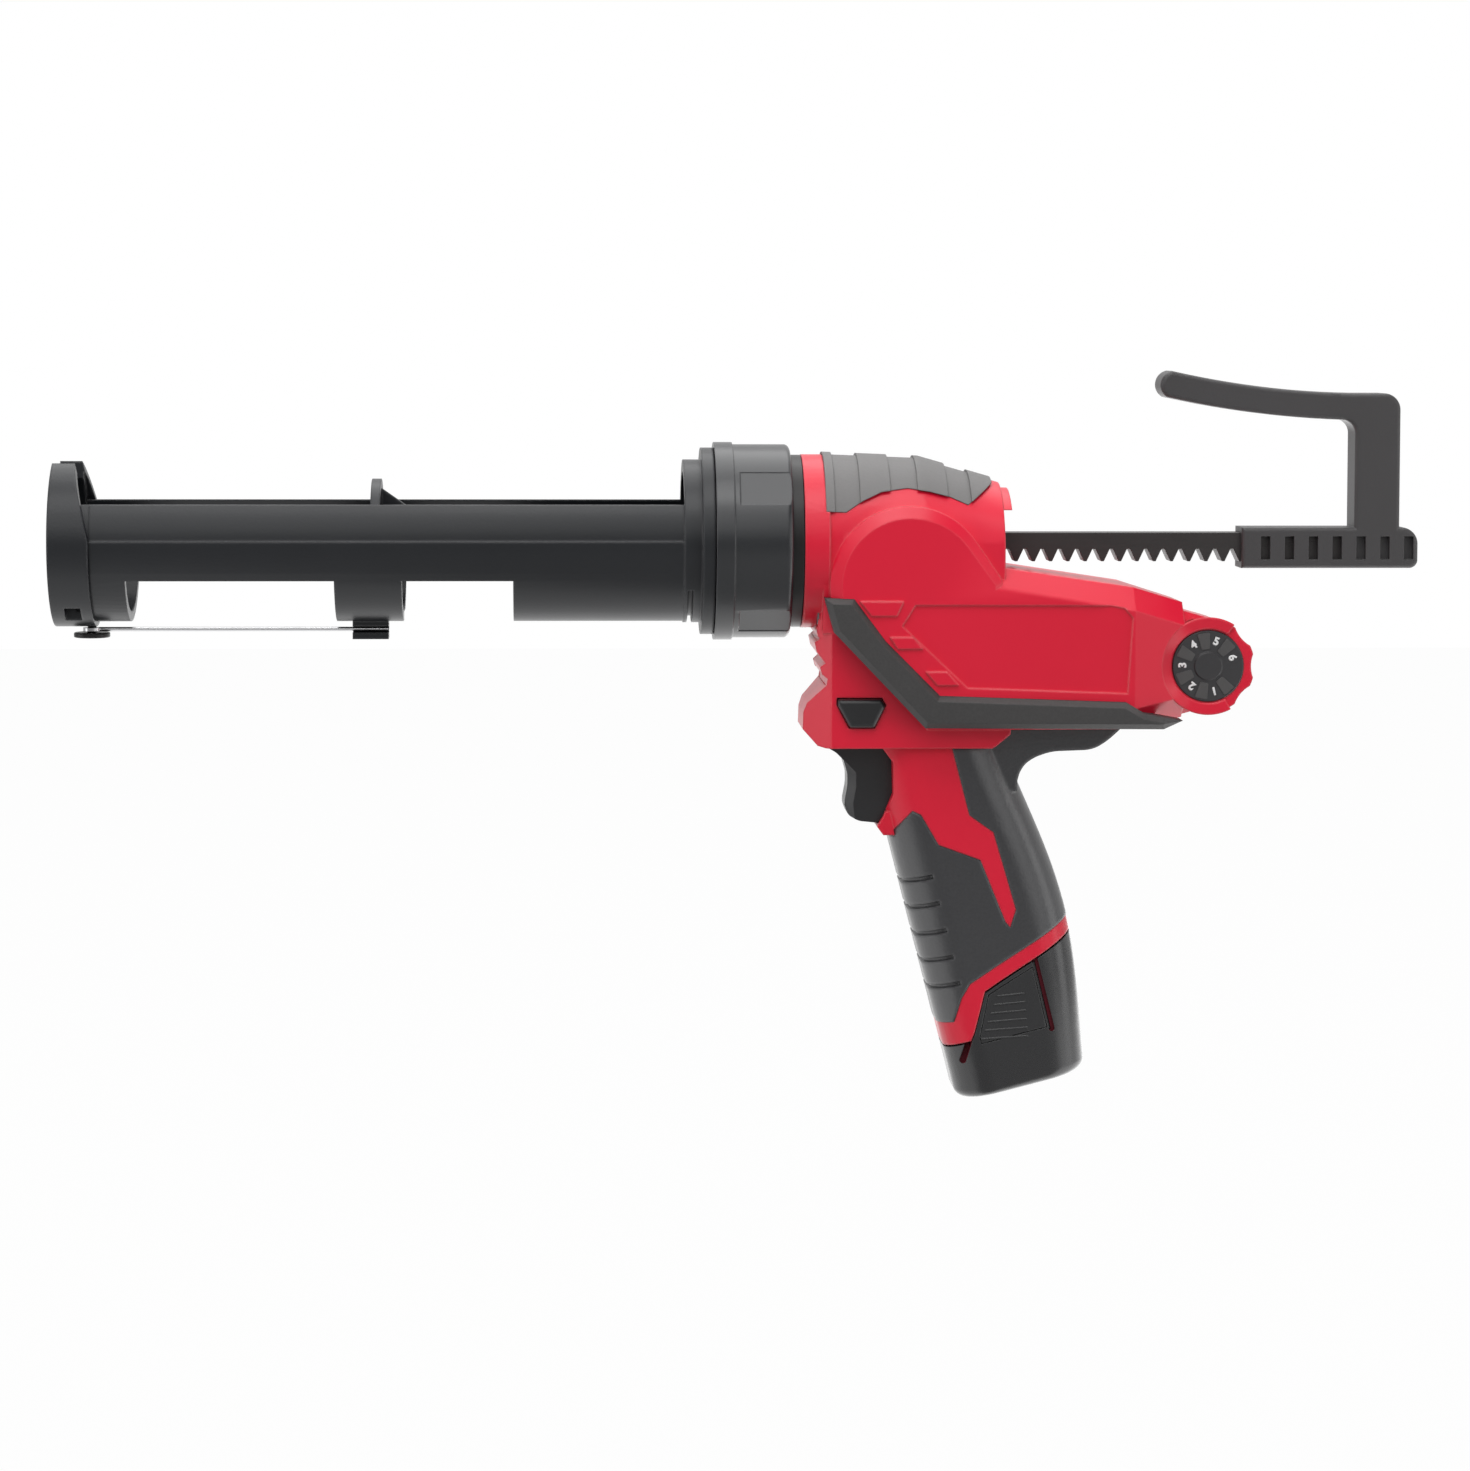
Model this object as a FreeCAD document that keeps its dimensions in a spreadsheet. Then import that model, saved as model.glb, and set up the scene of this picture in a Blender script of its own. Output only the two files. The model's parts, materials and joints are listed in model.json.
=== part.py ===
import FreeCAD, Part
import math
import os
import re
import Sketcher
from FreeCAD import Placement, Rotation, Vector

# Cordless caulking tool. X runs along the push rod with the nozzle end at -X, Z is up, and Y is the
# width, with the left side at -Y. The origin lies on the cartridge axis, inside the rear seat ring.

SIZES = {
    # cuts and fits
    "overrun": 2,
    "moving_gap": 0.3,
    "seat_gap": 0.1,
    "running_gap": 0.05,
    # cartridge and carriage frame
    "cartridge_radius": 25,
    "seat_clearance": 0.4,
    "carriage_wall": 3.6,
    "rail_wall": 2.2,
    "rail_top": 14,
    "rail_bottom": 13,
    "rail_ledge": 1.2,
    "carriage_reach": 218,
    "front_band": 12.5,
    "mid_band_start": 131.6,
    "mid_band": 24,
    "rear_band": 68,
    "band_corner": 3.4,
    "seat_slit_start": 3.8,
    "seat_slit": 1.8,
    "seat_slit_depth": 2.4,
    "seat_slit_top": 16.5,
    "seat_ring": 6.4,
    "seat_ring_wall": 4.1,
    "flange_back": 0.6,
    "flange_radius": 33.8,
    "flange_thickness": 4.4,
    "spigot_length": 8.2,
    "passage_radius": 24,
    "snap_groove_depth": 1,
    "snap_groove_start": 5,
    "snap_ring_thickness": 1.6,
    "snap_ring_proud": 1.6,
    "clip_width": 6,
    "clip_length": 13,
    "clip_drop": 6.4,
    # front cap
    "cap_length": 14.5,
    "cap_radius": 30.8,
    "cap_wall": 4,
    "cap_socket": 6,
    "cap_socket_wall": 2,
    "cap_prong_top": 28.7,
    "cap_prong_depth": 8,
    "nozzle_slot": 24,
    "cap_window_start": 4.8,
    "cap_window": 5.8,
    "cap_window_top": 23,
    "cap_window_height": 6.4,
    "cap_window_inside": 13.5,
    # piercing wire and its pivot button
    "wire_radius": 0.8,
    "wire_length": 107,
    "wire_eye_radius": 3.2,
    "wire_eye_thickness": 1.2,
    "pivot_place": 220,
    "pivot_radius": 6.5,
    "pivot_thickness": 1.8,
    "pivot_stem": 1.6,
    # retaining collar nut
    "collar_length": 27.4,
    "collar_flange": 6.6,
    "collar_flange_radius": 35.8,
    "collar_radius": 35,
    "collar_lip": 4.4,
    "collar_recess_width": 13.6,
    "collar_recess_depth": 0.9,
    "collar_round": 2,
    # neck that the collar screws on
    "neck_radius": 31.2,
    "neck_ring": 3.8,
    "neck_waist": 26.8,
    "neck_waist_length": 2.4,
    "neck_flange": 28.2,
    "neck_flange_length": 3,
    # push rod and its rack
    "rack_module": 2,
    "rack_pinion_teeth": 12,
    "rack_pitch_drop": 5.2,
    "rack_teeth": 47,
    "rod_width": 10,
    "rod_top": 3.2,
    "rod_head_gap": 14,
    "root_clearance": 0.5,
    "backlash": 0.3,
    "pressure_angle": 25,
    # plunger
    "plunger_place": 119,
    "plunger_radius": 22.5,
    "plunger_thickness": 3.4,
    "plunger_hub_radius": 9,
    "plunger_hub_length": 13,
    "plunger_fin": 2.4,
    "plunger_screw_radius": 3,
    "plunger_screw_head": 5.5,
    # pull handle
    "handle_start": 195.5,
    "handle_length": 64.3,
    "handle_block_top": 5.2,
    "handle_block_bottom": 9.6,
    "handle_socket": 40,
    "handle_slot": 3.4,
    "handle_slot_height": 8.4,
    "handle_slot_pitch": 8.7,
    "handle_slot_depth": 3,
    "handle_slots": 7,
    "handle_slot_start": 8.6,
    "handle_width": 16,
    "column_start": 41,
    "column_depth": 16.5,
    "handle_top": 53.8,
    "arm_reach": 30.6,
    "arm_lift": 8,
    "arm_depth": 9.6,
    "arm_bend_radius": 330,
    "arm_tip_radius": 5.2,
    "handle_corner": 6,
    "handle_crotch": 5,
    "handle_edge": 1.6,
    "handle_pin_radius": 1.6,
    "handle_pin_slots": 2.5,
    # gear train
    "pinion_place": 73,
    "drive_module": 1,
    "output_gear_teeth": 36,
    "spur_pinion_teeth": 12,
    "bevel_module": 1.25,
    "bevel_gear_teeth": 24,
    "bevel_pinion_teeth": 12,
    "bevel_face": 5,
    "bevel_hub": 3.5,
    "pinion_width": 9.4,
    "output_gear_inset": 8,
    "output_gear_width": 6,
    "output_shaft_radius": 4,
    "cross_shaft_radius": 3,
    "bush_wall": 2,
    "bevel_shaft_radius": 3,
    # gear frame
    "frame_plate": 4,
    "frame_side": 3,
    "frame_half": 18,
    "frame_front_half": 19,
    "frame_front_height": 21,
    "frame_front_drop": 27,
    "frame_length": 58.6,
    "frame_top": 9,
    "frame_bottom": 51,
    "frame_gearbox_top": 31,
    "neck_screw_y": 17.2,
    "neck_screw_z": 19.5,
    "neck_screw_low_y": 11,
    "neck_screw_low_z": 23.6,
    "neck_screw_radius": 1.5,
    "neck_screw_head": 2.6,
    "neck_screw_head_length": 2.4,
    # motor and gearbox
    "gearbox_radius": 17,
    "gearbox_length": 22,
    "motor_radius": 17.5,
    "motor_length": 36,
    "motor_cap_radius": 16.5,
    "motor_cap_length": 7,
    # housing head and nose
    "nose_radius": 31.4,
    "nose_length": 9,
    "head_start": 42.6,
    "head_mid": 35.4,
    "head_length": 64.8,
    "head_top": 31.2,
    "head_mid_top": 29.8,
    "head_back_top": 21.4,
    "head_half": 29.2,
    "head_back_half": 28,
    "head_shoulder": 10,
    "head_drop": 32,
    "lip_length": 3.2,
    "lip_drop": 2,
    "lip_bottom": 12,
    "boss_drop": 14.6,
    "boss_radius": 28.4,
    "boss_face_radius": 24.2,
    "boss_lean": 34.6,
    "boss_run": 17,
    "boss_bevel": 2.6,
    # housing barrel and tail
    "barrel_start": 80,
    "barrel_mid": 74,
    "barrel_length": 93,
    "barrel_start_top": 4.4,
    "barrel_mid_top": 15.5,
    "barrel_end_top": 21.4,
    "barrel_bottom": 66.6,
    "barrel_end_bottom": 63,
    "barrel_half": 32.2,
    "barrel_mid_half": 29.8,
    "barrel_end_half": 21.5,
    "barrel_chamfer": 8,
    "tail_length": 30,
    "tail_half": 17,
    "tail_top": 24.4,
    "tail_end_top": 28.2,
    "tail_bottom": 62,
    "tail_end_bottom": 58.6,
    # housing chin
    "chin_front": 36,
    "chin_length": 70,
    "chin_drop": 73.4,
    "chin_half": 23,
    # side panel and raised pads
    "panel_depth": 0.9,
    "panel_length": 80,
    "panel_height": 31.8,
    "panel_top": 21.3,
    "side_pad_ahead": 18.6,
    "side_pad_span": 34.6,
    "side_pad_top": 19.7,
    "side_pad_drop": 30.1,
    "side_pad_proud": 0.9,
    # rubber pads
    "pad_proud": 0.3,
    "pad_rib_proud": 1.2,
    "pad_depth": 1.2,
    "bumper_top": 18.7,
    "bumper_length": 114.4,
    "bumper_half": 34.2,
    "bumper_depth": 11.6,
    "bumper_bevel": 2,
    # grip, in its own tilted frame
    "grip_x": 95,
    "grip_drop": 75,
    "grip_tilt": 14.5,
    "grip_length": 127,
    "grip_depth": 55,
    "grip_half": 22,
    "grip_corner": 15,
    "sleeve_depth": 1.4,
    "sleeve_proud": 0.3,
    "heel_half": 16,
    "heel_length": 63,
    "heel_drop": 27.5,
    "groove_width": 1.6,
    "groove_depth": 1.1,
    # trigger, switch and lock
    "trigger_front": 44.1,
    "trigger_length": 28,
    "trigger_height": 28,
    "trigger_half": 9.5,
    "trigger_travel": 7,
    "trigger_edge": 3,
    "guard_half": 12.5,
    "trigger_stem_radius": 2,
    "trigger_stem": 13,
    "switch_length": 20,
    "switch_height": 21,
    "switch_half": 9,
    "lock_start": 47.9,
    "lock_length": 17.2,
    "lock_top": 55.4,
    "lock_height": 10.4,
    "lock_half": 25.8,
    "lock_edge": 1,
    # speed dial
    "dial_x": 181.5,
    "dial_drop": 44,
    "dial_radius": 16.9,
    "dial_scallops": 9,
    "dial_scallop_radius": 12,
    "dial_scallop_depth": 1.3,
    "dial_thickness": 5,
    "dial_outer": 20,
    "dial_face_radius": 12.9,
    "dial_face_depth": 1.6,
    "dial_face_proud": 0.6,
    "dial_knob_radius": 5,
    "dial_shaft_radius": 3,
    "dial_shaft": 8,
    "control_length": 8,
    "control_half": 5,
    "board_thickness": 2.2,
    "board_half": 14,
    "board_height": 28,
    # battery pack, in the grip frame
    "pack_gap": 0.7,
    "pack_bottom_round": 4,
    "stem_front": 28.2,
    "stem_back": 13.2,
    "stem_half": 18.5,
    "stem_corner": 9,
    "stem_wall": 1.2,
    "stem_top": 46,
    "stem_roof": 2,
    "stem_foot": 118,
    "stem_gap": 0.3,
    "cell_radius": 9.2,
    "cell_length": 62,
    "cell_spacing": 18.6,
    "cell_centre": 7.7,
    "contact_block_height": 5.4,
    "contact_block_half": 12,
    "contact_block_front": 20,
    "contact_block_back": 5,
    "blade_thickness": 0.8,
    "blade_width": 6,
    "blade_reach": 5,
    "blade_spacing": 7,
    "blade_gap": 0.4,
    "latch_lip": 0.8,
    "latch_flange": 0.6,
    "latch_flange_width": 1.2,
    "latch_travel": 0.9,
    # rear rod guide and housing screws
    "guide_length": 7,
    "guide_half": 9,
    "screw_radius": 1.5,
    "head_screw_x": 100.8,
    "head_screw_z": 12.4,
    "barrel_screw_x": 124.6,
    "barrel_screw_drop": 20.4,
    "chin_screw_x": 71,
    "chin_screw_drop": 68.4,
    "front_screw_x": 43,
    "front_screw_drop": 64.3,
    "screw_head_radius": 3,
    "screw_head_length": 2.4,
    "screw_head_depth": 3,
    "screw_reach": 12,
}

DERIVED = {
    "seat_radius": "cartridge_radius + seat_clearance",
    "carriage_radius": "seat_radius + carriage_wall",
    "rail_radius": "seat_radius + rail_wall",
    "ring_radius": "seat_radius + seat_ring_wall",
    "flange_front": "-flange_back",
    "flange_rear": "flange_front + flange_thickness",
    "seat_front": "flange_front - seat_ring",
    "carriage_front": "-carriage_reach",
    "spigot_rear": "flange_rear + spigot_length",
    "cap_front": "carriage_front - cap_length",
    "collar_front": "flange_rear + moving_gap",
    "collar_rear": "collar_front + collar_length",
    "neck_front": "spigot_rear + moving_gap",
    "neck_rear": "collar_rear + moving_gap + neck_ring",
    "nose_front": "neck_rear + seat_gap",
    "neck_flange_front": "neck_rear + neck_waist_length",
    "frame_front": "neck_flange_front + neck_flange_length",
    "frame_rear": "frame_front + frame_length",
    "rack_pitch": "pi * rack_module",
    "pinion_radius": "rack_module * rack_pinion_teeth / 2",
    "rack_tip": "-rack_pitch_drop - rack_module",
    "rack_root": "-rack_pitch_drop + rack_module + root_clearance",
    "pinion_z": "-rack_pitch_drop - pinion_radius",
    "spur_centres": "drive_module * (output_gear_teeth + spur_pinion_teeth) / 2",
    "drive_z": "pinion_z - spur_centres",
    "bevel_pinion_back": "bevel_module * bevel_gear_teeth / 2",
    "bevel_gear_back": "bevel_module * bevel_pinion_teeth / 2",
    "bevel_gear_radius": "bevel_pinion_back + bevel_module",
    "bevel_cone": "sqrt(bevel_pinion_back ^ 2 + bevel_gear_back ^ 2)",
    "plunger_front": "-plunger_place",
    "plunger_back": "plunger_front + plunger_thickness",
    "rod_front": "plunger_back",
    "rod_rear": "handle_start + handle_socket",
    "motor_front": "frame_rear + gearbox_length",
    "motor_rear": "motor_front + motor_length",
    "motor_end": "motor_rear + motor_cap_length",
    "head_rear": "head_start + head_length",
    "barrel_rear": "barrel_start + barrel_length",
    "tail_rear": "barrel_rear + tail_length",
    "trigger_top": "-chin_drop - moving_gap",
    "trigger_rear": "trigger_front + trigger_length",
    "switch_front": "trigger_rear + trigger_travel + moving_gap",
    "lock_bottom": "lock_top + lock_height",
    "dial_inner": "dial_outer - dial_thickness",
    "column_rear": "column_start + column_depth",
    "arm_tip": "handle_start - arm_reach",
    "cap_socket_radius": "seat_radius + cap_socket_wall",
    "snap_start": "flange_rear + snap_groove_start",
    "snap_stop": "snap_start + snap_ring_thickness + seat_gap",
    "clip_start": "-mid_band_start + (mid_band - clip_length) / 2",
    "clip_bottom": "-carriage_radius - clip_drop",
    "wire_z": "-cap_radius - moving_gap - wire_radius",
    "pivot_top": "-cap_radius - 2 * moving_gap - 2 * wire_radius",
    "handle_end": "handle_start + handle_length",
    "pin_x": "handle_start + handle_slot_start + handle_slot_pitch * handle_pin_slots",
    "pin_z": "(rod_top + rack_root) / 2",
    "latch_depth": "latch_lip + moving_gap + latch_flange",
}


def tie(text):
    """Expression text in which every size points at its sheet cell."""
    def swap(found):
        word = found.group()
        if word in DERIVED:
            return "(" + tie(DERIVED[word]) + ")"
        return "sizes." + word if word in SIZES else word
    return re.sub(r"[a-z_][a-z0-9_]*", swap, text)


doc = FreeCAD.newDocument("caulking_tool")
sheet = doc.addObject("Spreadsheet::Sheet", "sizes")
for row, (alias, amount) in enumerate(SIZES.items(), start=1):
    sheet.set(f"A{row}", alias)
    sheet.set(f"B{row}", str(amount))
    sheet.setAlias(f"B{row}", alias)
doc.recompute()

nodes = {}


def num(text):
    """Value of an expression in millimetres."""
    return float(sheet.evalExpression(tie(text)))


def node(name, piece):
    """Name a finished sub-part."""
    piece.Label = name
    nodes[name] = piece
    return piece


# Primitives and booleans

TURNS = {"X": Rotation(Vector(0, 1, 0), 90), "Y": Rotation(Vector(1, 0, 0), -90), "Z": Rotation()}


def put(piece, x, y, z):
    """Bind the base point of a piece."""
    for letter, text in zip("xyz", (x, y, z)):
        piece.setExpression(f"Placement.Base.{letter}", tie(text))
    return piece


def bar(name, axis, radius, start, stop, first="0", second="0"):
    """Round bar along an axis; first and second are its two other coordinates, in X, Y, Z order."""
    piece = doc.addObject("Part::Cylinder", name)
    piece.setExpression("Radius", tie(radius))
    piece.setExpression("Height", tie(f"({stop}) - ({start})"))
    piece.Placement = Placement(Vector(), TURNS[axis])
    places = {"X": (start, first, second), "Y": (first, start, second), "Z": (first, second, start)}
    return put(piece, *places[axis])


def block(name, x, y, z):
    """Box between pairs of expressions."""
    piece = doc.addObject("Part::Box", name)
    for side, (low, high) in zip(("Length", "Width", "Height"), (x, y, z)):
        piece.setExpression(side, tie(f"({high}) - ({low})"))
    return put(piece, x[0], y[0], z[0])


def fuse(name, *pieces):
    piece = doc.addObject("Part::MultiFuse", name)
    piece.Shapes = list(pieces)
    return piece


def cut(name, base, *tools):
    piece = doc.addObject("Part::Cut", name)
    piece.Base = base
    piece.Tool = tools[0] if len(tools) == 1 else fuse(name + "_tools", *tools)
    return piece


def feature(name, shape, placement=None):
    """Sub-part whose form is worked out below from the sheet's values."""
    piece = doc.addObject("Part::Feature", name)
    piece.Shape = shape
    piece.Placement = placement or Placement()
    return piece


# Bodies made from sketches

def new_body(name):
    return doc.addObject("PartDesign::Body", name)


def new_sketch(owner, plane, offset=None):
    """Sketch on one of the body's own origin planes, moved along its normal."""
    sketch = owner.newObject("Sketcher::SketchObject", owner.Name + "_sketch")
    role = plane + "_Plane"
    support = next(item for item in owner.Origin.OriginFeatures if item.Role == role)
    sketch.AttachmentSupport = [(support, "")]
    sketch.MapMode = "FlatFace"
    if offset:
        sketch.setExpression("AttachmentOffset.Base.z", tie(offset))
    return sketch


def hold(sketch, kind, *parts):
    """Constraint whose last part is an expression."""
    text = parts[-1]
    index = sketch.addConstraint(Sketcher.Constraint(kind, *parts[:-1], num(text)))
    sketch.setExpression(f"Constraints[{index}]", tie(text))


def outline(sketch, points):
    """Closed outline. A point with a third entry is reached along an arc of that radius; its sign
    picks the side of the arc's centre, positive to the left of travel."""
    spots = [Vector(num(point[0]), num(point[1]), 0) for point in points]
    first = sketch.GeometryCount
    total = len(points)
    for index in range(total):
        start, stop = spots[index], spots[(index + 1) % total]
        goal = points[(index + 1) % total]
        if len(goal) == 2:
            sketch.addGeometry(Part.LineSegment(start, stop))
            continue
        radius = num(goal[2])
        half = (stop - start) / 2
        left = Vector(-half.y, half.x, 0).normalize()
        rise = math.sqrt(radius * radius - half.Length * half.Length)
        centre = start + half + left * math.copysign(rise, radius)
        middle = centre - left * radius
        sketch.addGeometry(Part.Arc(start, middle, stop))
    ends = []
    for index in range(total):
        reach = [(sketch.getPoint(first + index, end) - spots[index]).Length for end in (1, 2)]
        ends.append((1, 2) if reach[0] < reach[1] else (2, 1))
    for index in range(total):
        following = (index + 1) % total
        sketch.addConstraint(Sketcher.Constraint(
            "Coincident", first + index, ends[index][1], first + following, ends[following][0]))
        hold(sketch, "DistanceX", -1, 1, first + index, ends[index][0], points[index][0])
        hold(sketch, "DistanceY", -1, 1, first + index, ends[index][0], points[index][1])
        goal = points[following]
        if len(goal) == 3:
            hold(sketch, "Radius", first + index, f"abs({goal[2]})")
    return sketch


def circle(sketch, x, y, radius):
    centre = Vector(num(x), num(y), 0)
    index = sketch.addGeometry(Part.Circle(centre, Vector(0, 0, 1), num(radius)))
    hold(sketch, "Radius", index, radius)
    hold(sketch, "DistanceX", -1, 1, index, 3, x)
    hold(sketch, "DistanceY", -1, 1, index, 3, y)
    return sketch


def grow(kind, owner, sketch, length, both=False, flip=False):
    """Pad or Pocket of a sketch."""
    made = owner.newObject("PartDesign::" + kind, owner.Name + "_" + kind.lower())
    made.Profile = sketch
    made.setExpression("Length", tie(length))
    made.Reversed = flip
    if both:
        made.SideType = "Symmetric"
    return made


def turn(owner, sketch, axis="H_Axis", kind="Revolution"):
    made = owner.newObject("PartDesign::" + kind, owner.Name + "_" + kind.lower())
    made.Profile = sketch
    made.ReferenceAxis = (sketch, [axis])
    made.Angle = 360
    return made


def spin(owner, made, count, sketch, axis):
    """Polar pattern of a feature about a sketch axis."""
    pattern = owner.newObject("PartDesign::PolarPattern", owner.Name + "_polar")
    pattern.Originals = [made]
    pattern.Axis = (sketch, [axis])
    pattern.Angle = 360
    pattern.setExpression("Occurrences", tie(count))
    owner.Tip = pattern
    return pattern


def repeat(owner, made, count, pitch, sketch, axis):
    """Linear pattern of a feature along a sketch axis."""
    pattern = owner.newObject("PartDesign::LinearPattern", owner.Name + "_row")
    pattern.Originals = [made]
    pattern.Direction = (sketch, [axis])
    pattern.setExpression("Length", tie(f"({pitch}) * ({count} - 1)"))
    pattern.setExpression("Occurrences", tie(count))
    owner.Tip = pattern
    return pattern


def soften(owner, kind, base, size, wanted):
    """Fillet or Chamfer on the edges of a feature that the test picks."""
    doc.recompute()
    names = [f"Edge{index}" for index, edge in enumerate(base.Shape.Edges, start=1) if wanted(edge)]
    made = owner.newObject("PartDesign::" + kind, owner.Name + "_" + kind.lower())
    made.Base = (base, names)
    made.setExpression("Radius" if kind == "Fillet" else "Size", tie(size))
    owner.Tip = made
    return made


def revolved(name, profile):
    """Body turned about the X axis from (x, radius) points."""
    owner = new_body(name)
    sketch = outline(new_sketch(owner, "XZ"), profile)
    turn(owner, sketch)
    return owner, sketch


# Carriage: open cartridge frame, front cap, piercing wire

def make_carriage():
    shell = fuse(
        "carriage_shell",
        bar("carriage_tube", "X", "carriage_radius", "carriage_front", "spigot_rear"),
        bar("carriage_ring", "X", "ring_radius", "seat_front", "flange_rear"),
        bar("carriage_flange", "X", "flange_radius", "flange_front", "flange_rear"),
        bar("carriage_spigot", "X", "cap_socket_radius", "carriage_front - cap_socket", "carriage_front"),
        block("clip_lug", ("clip_start", "clip_start + clip_length"),
              ("-clip_width / 2", "clip_width / 2"), ("clip_bottom", "-seat_radius")))
    wide = "flange_radius + overrun"
    above = block("above_ledge", ("carriage_front - cap_socket - overrun", "seat_front"),
                  (f"-({wide})", wide), ("rail_ledge", wide))
    kept = bar("upper_rails", "X", "rail_radius", "carriage_front - cap_socket - overrun", "seat_front")
    windows = [
        block(f"window_{index}", span, (f"-({wide})", wide), (f"-({wide})", "-rail_bottom"))
        for index, span in enumerate((
            ("carriage_front + front_band", "-mid_band_start"),
            ("mid_band - mid_band_start", "-rear_band")))]
    corners = []
    for index, (edge, inward) in enumerate((("-mid_band_start", 1), ("mid_band - mid_band_start", -1), ("-rear_band", 1))):
        place, step = num(edge), inward * num("band_corner + overrun")
        low = -num("carriage_radius + overrun")
        spots = [Vector(place - inward * num("overrun"), 0, low), Vector(place + step, 0, low),
                 Vector(place - inward * num("overrun"), 0, low + num("band_corner + 2 * overrun"))]
        corners.append(feature(f"band_corner_{index}", prism(spots, "-clip_width - seat_radius", "clip_width + seat_radius")))
    slit = cut(
        "seat_slit",
        bar("seat_slit_outer", "X", "flange_radius", "-seat_slit_start - seat_slit", "-seat_slit_start"),
        bar("seat_slit_inner", "X", "ring_radius - seat_slit_depth", "-seat_slit_start - seat_slit", "-seat_slit_start"),
        block("above_seat_slit", ("-seat_slit_start - seat_slit", "-seat_slit_start"), (f"-({wide})", wide),
              ("-seat_slit_top", wide)))
    node("carriage_frame", cut(
        "carriage_frame", shell, slit, *corners,
        bar("cartridge_bore", "X", "seat_radius", "carriage_front - cap_socket - overrun", "flange_rear"),
        bar("plunger_passage", "X", "passage_radius", "flange_front", "spigot_rear + overrun"),
        block("top_opening", ("carriage_front - cap_socket - overrun", "seat_front"),
              (f"-({wide})", wide), ("rail_top", wide)),
        cut("rail_step", above, kept),
        cut("snap_groove",
            bar("snap_groove_outer", "X", "flange_radius", "snap_start", "snap_stop"),
            bar("snap_groove_inner", "X", "carriage_radius - snap_groove_depth", "snap_start", "snap_stop")),
        bar("wire_notch", "X", "wire_radius + moving_gap", "clip_start - overrun",
            "clip_start + clip_length + overrun", "0", "wire_z"),
        block("wire_notch_mouth", ("clip_start - overrun", "clip_start + clip_length + overrun"),
              ("-wire_radius - moving_gap - clip_width", "0"),
              ("wire_z - wire_radius - moving_gap", "wire_z + wire_radius + moving_gap")),
        *windows))


def make_front_cap():
    owner, sketch = revolved("front_cap", [
        ("cap_front", "0"), ("carriage_front", "0"), ("carriage_front", "cap_radius"),
        ("cap_front", "cap_radius")])
    bore = outline(new_sketch(owner, "XZ"), [
        ("cap_front + cap_wall", "0"), ("carriage_front + overrun", "0"),
        ("carriage_front + overrun", "cap_socket_radius + seat_gap"),
        ("carriage_front - cap_socket - seat_gap", "cap_socket_radius + seat_gap"),
        ("carriage_front - cap_socket - seat_gap", "seat_radius"), ("cap_front + cap_wall", "seat_radius")])
    turn(owner, bore, kind="Groove")
    top = outline(new_sketch(owner, "XZ"), [
        ("cap_front - overrun", "cap_prong_top"), ("cap_front + cap_prong_depth", "cap_prong_top"),
        ("carriage_front", "rail_ledge"), ("carriage_front + overrun", "rail_ledge"),
        ("carriage_front + overrun", "cap_radius + overrun"), ("cap_front - overrun", "cap_radius + overrun")])
    grow("Pocket", owner, top, "2 * cap_radius + overrun", both=True)
    slot = outline(new_sketch(owner, "YZ"), [
        ("-nozzle_slot / 2", "0"), ("nozzle_slot / 2", "0"),
        ("nozzle_slot / 2", "cap_radius + overrun"), ("-nozzle_slot / 2", "cap_radius + overrun")])
    grow("Pocket", owner, slot, "carriage_reach + cap_length + overrun")
    slot_end = circle(new_sketch(owner, "YZ"), "0", "0", "nozzle_slot / 2")
    grow("Pocket", owner, slot_end, "carriage_reach + cap_length + overrun")
    stem_hole = circle(new_sketch(owner, "XY"), "-pivot_place", "0", "pivot_stem + running_gap")
    grow("Pocket", owner, stem_hole, "cap_radius + overrun")
    front = "cap_front + cap_window_start"
    back = f"{front} + cap_window"
    for place, flip in (("-cap_window_inside", True), ("cap_window_inside", False)):
        window = outline(new_sketch(owner, "XZ", place), [
            (front, "-cap_window_top - cap_window_height"), (back, "-cap_window_top - cap_window_height"),
            (back, "-cap_window_top"), (front, "-cap_window_top")])
        grow("Pocket", owner, window, "cap_radius", flip=not flip)
    node("front_cap", owner)


def make_wire():
    node("wire_pivot", fuse(
        "wire_pivot",
        bar("pivot_stem_bar", "Z", "pivot_stem", "pivot_top", "-cap_socket_radius - seat_gap", "-pivot_place"),
        bar("pivot_button", "Z", "pivot_radius", "pivot_top - pivot_thickness", "pivot_top", "-pivot_place")))
    low = "wire_z - wire_eye_thickness / 2"
    high = "wire_z + wire_eye_thickness / 2"
    eye = cut("wire_eye",
              bar("wire_eye_outer", "Z", "wire_eye_radius", low, high, "-pivot_place"),
              bar("wire_eye_hole", "Z", "pivot_stem + running_gap", f"{low} - overrun", f"{high} + overrun",
                  "-pivot_place"))
    shank = bar("wire_shank", "X", "wire_radius", "wire_eye_radius - wire_radius - pivot_place",
                "wire_length - pivot_place", "0", "wire_z")
    node("piercing_wire", fuse("piercing_wire", eye, shank))


# Collar, neck and snap ring at the tool's nose

neck_screw_places = [
    ("-neck_screw_y", "neck_screw_z"), ("neck_screw_y", "neck_screw_z"),
    ("-neck_screw_low_y", "-neck_screw_low_z"), ("neck_screw_low_y", "-neck_screw_low_z")]


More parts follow.
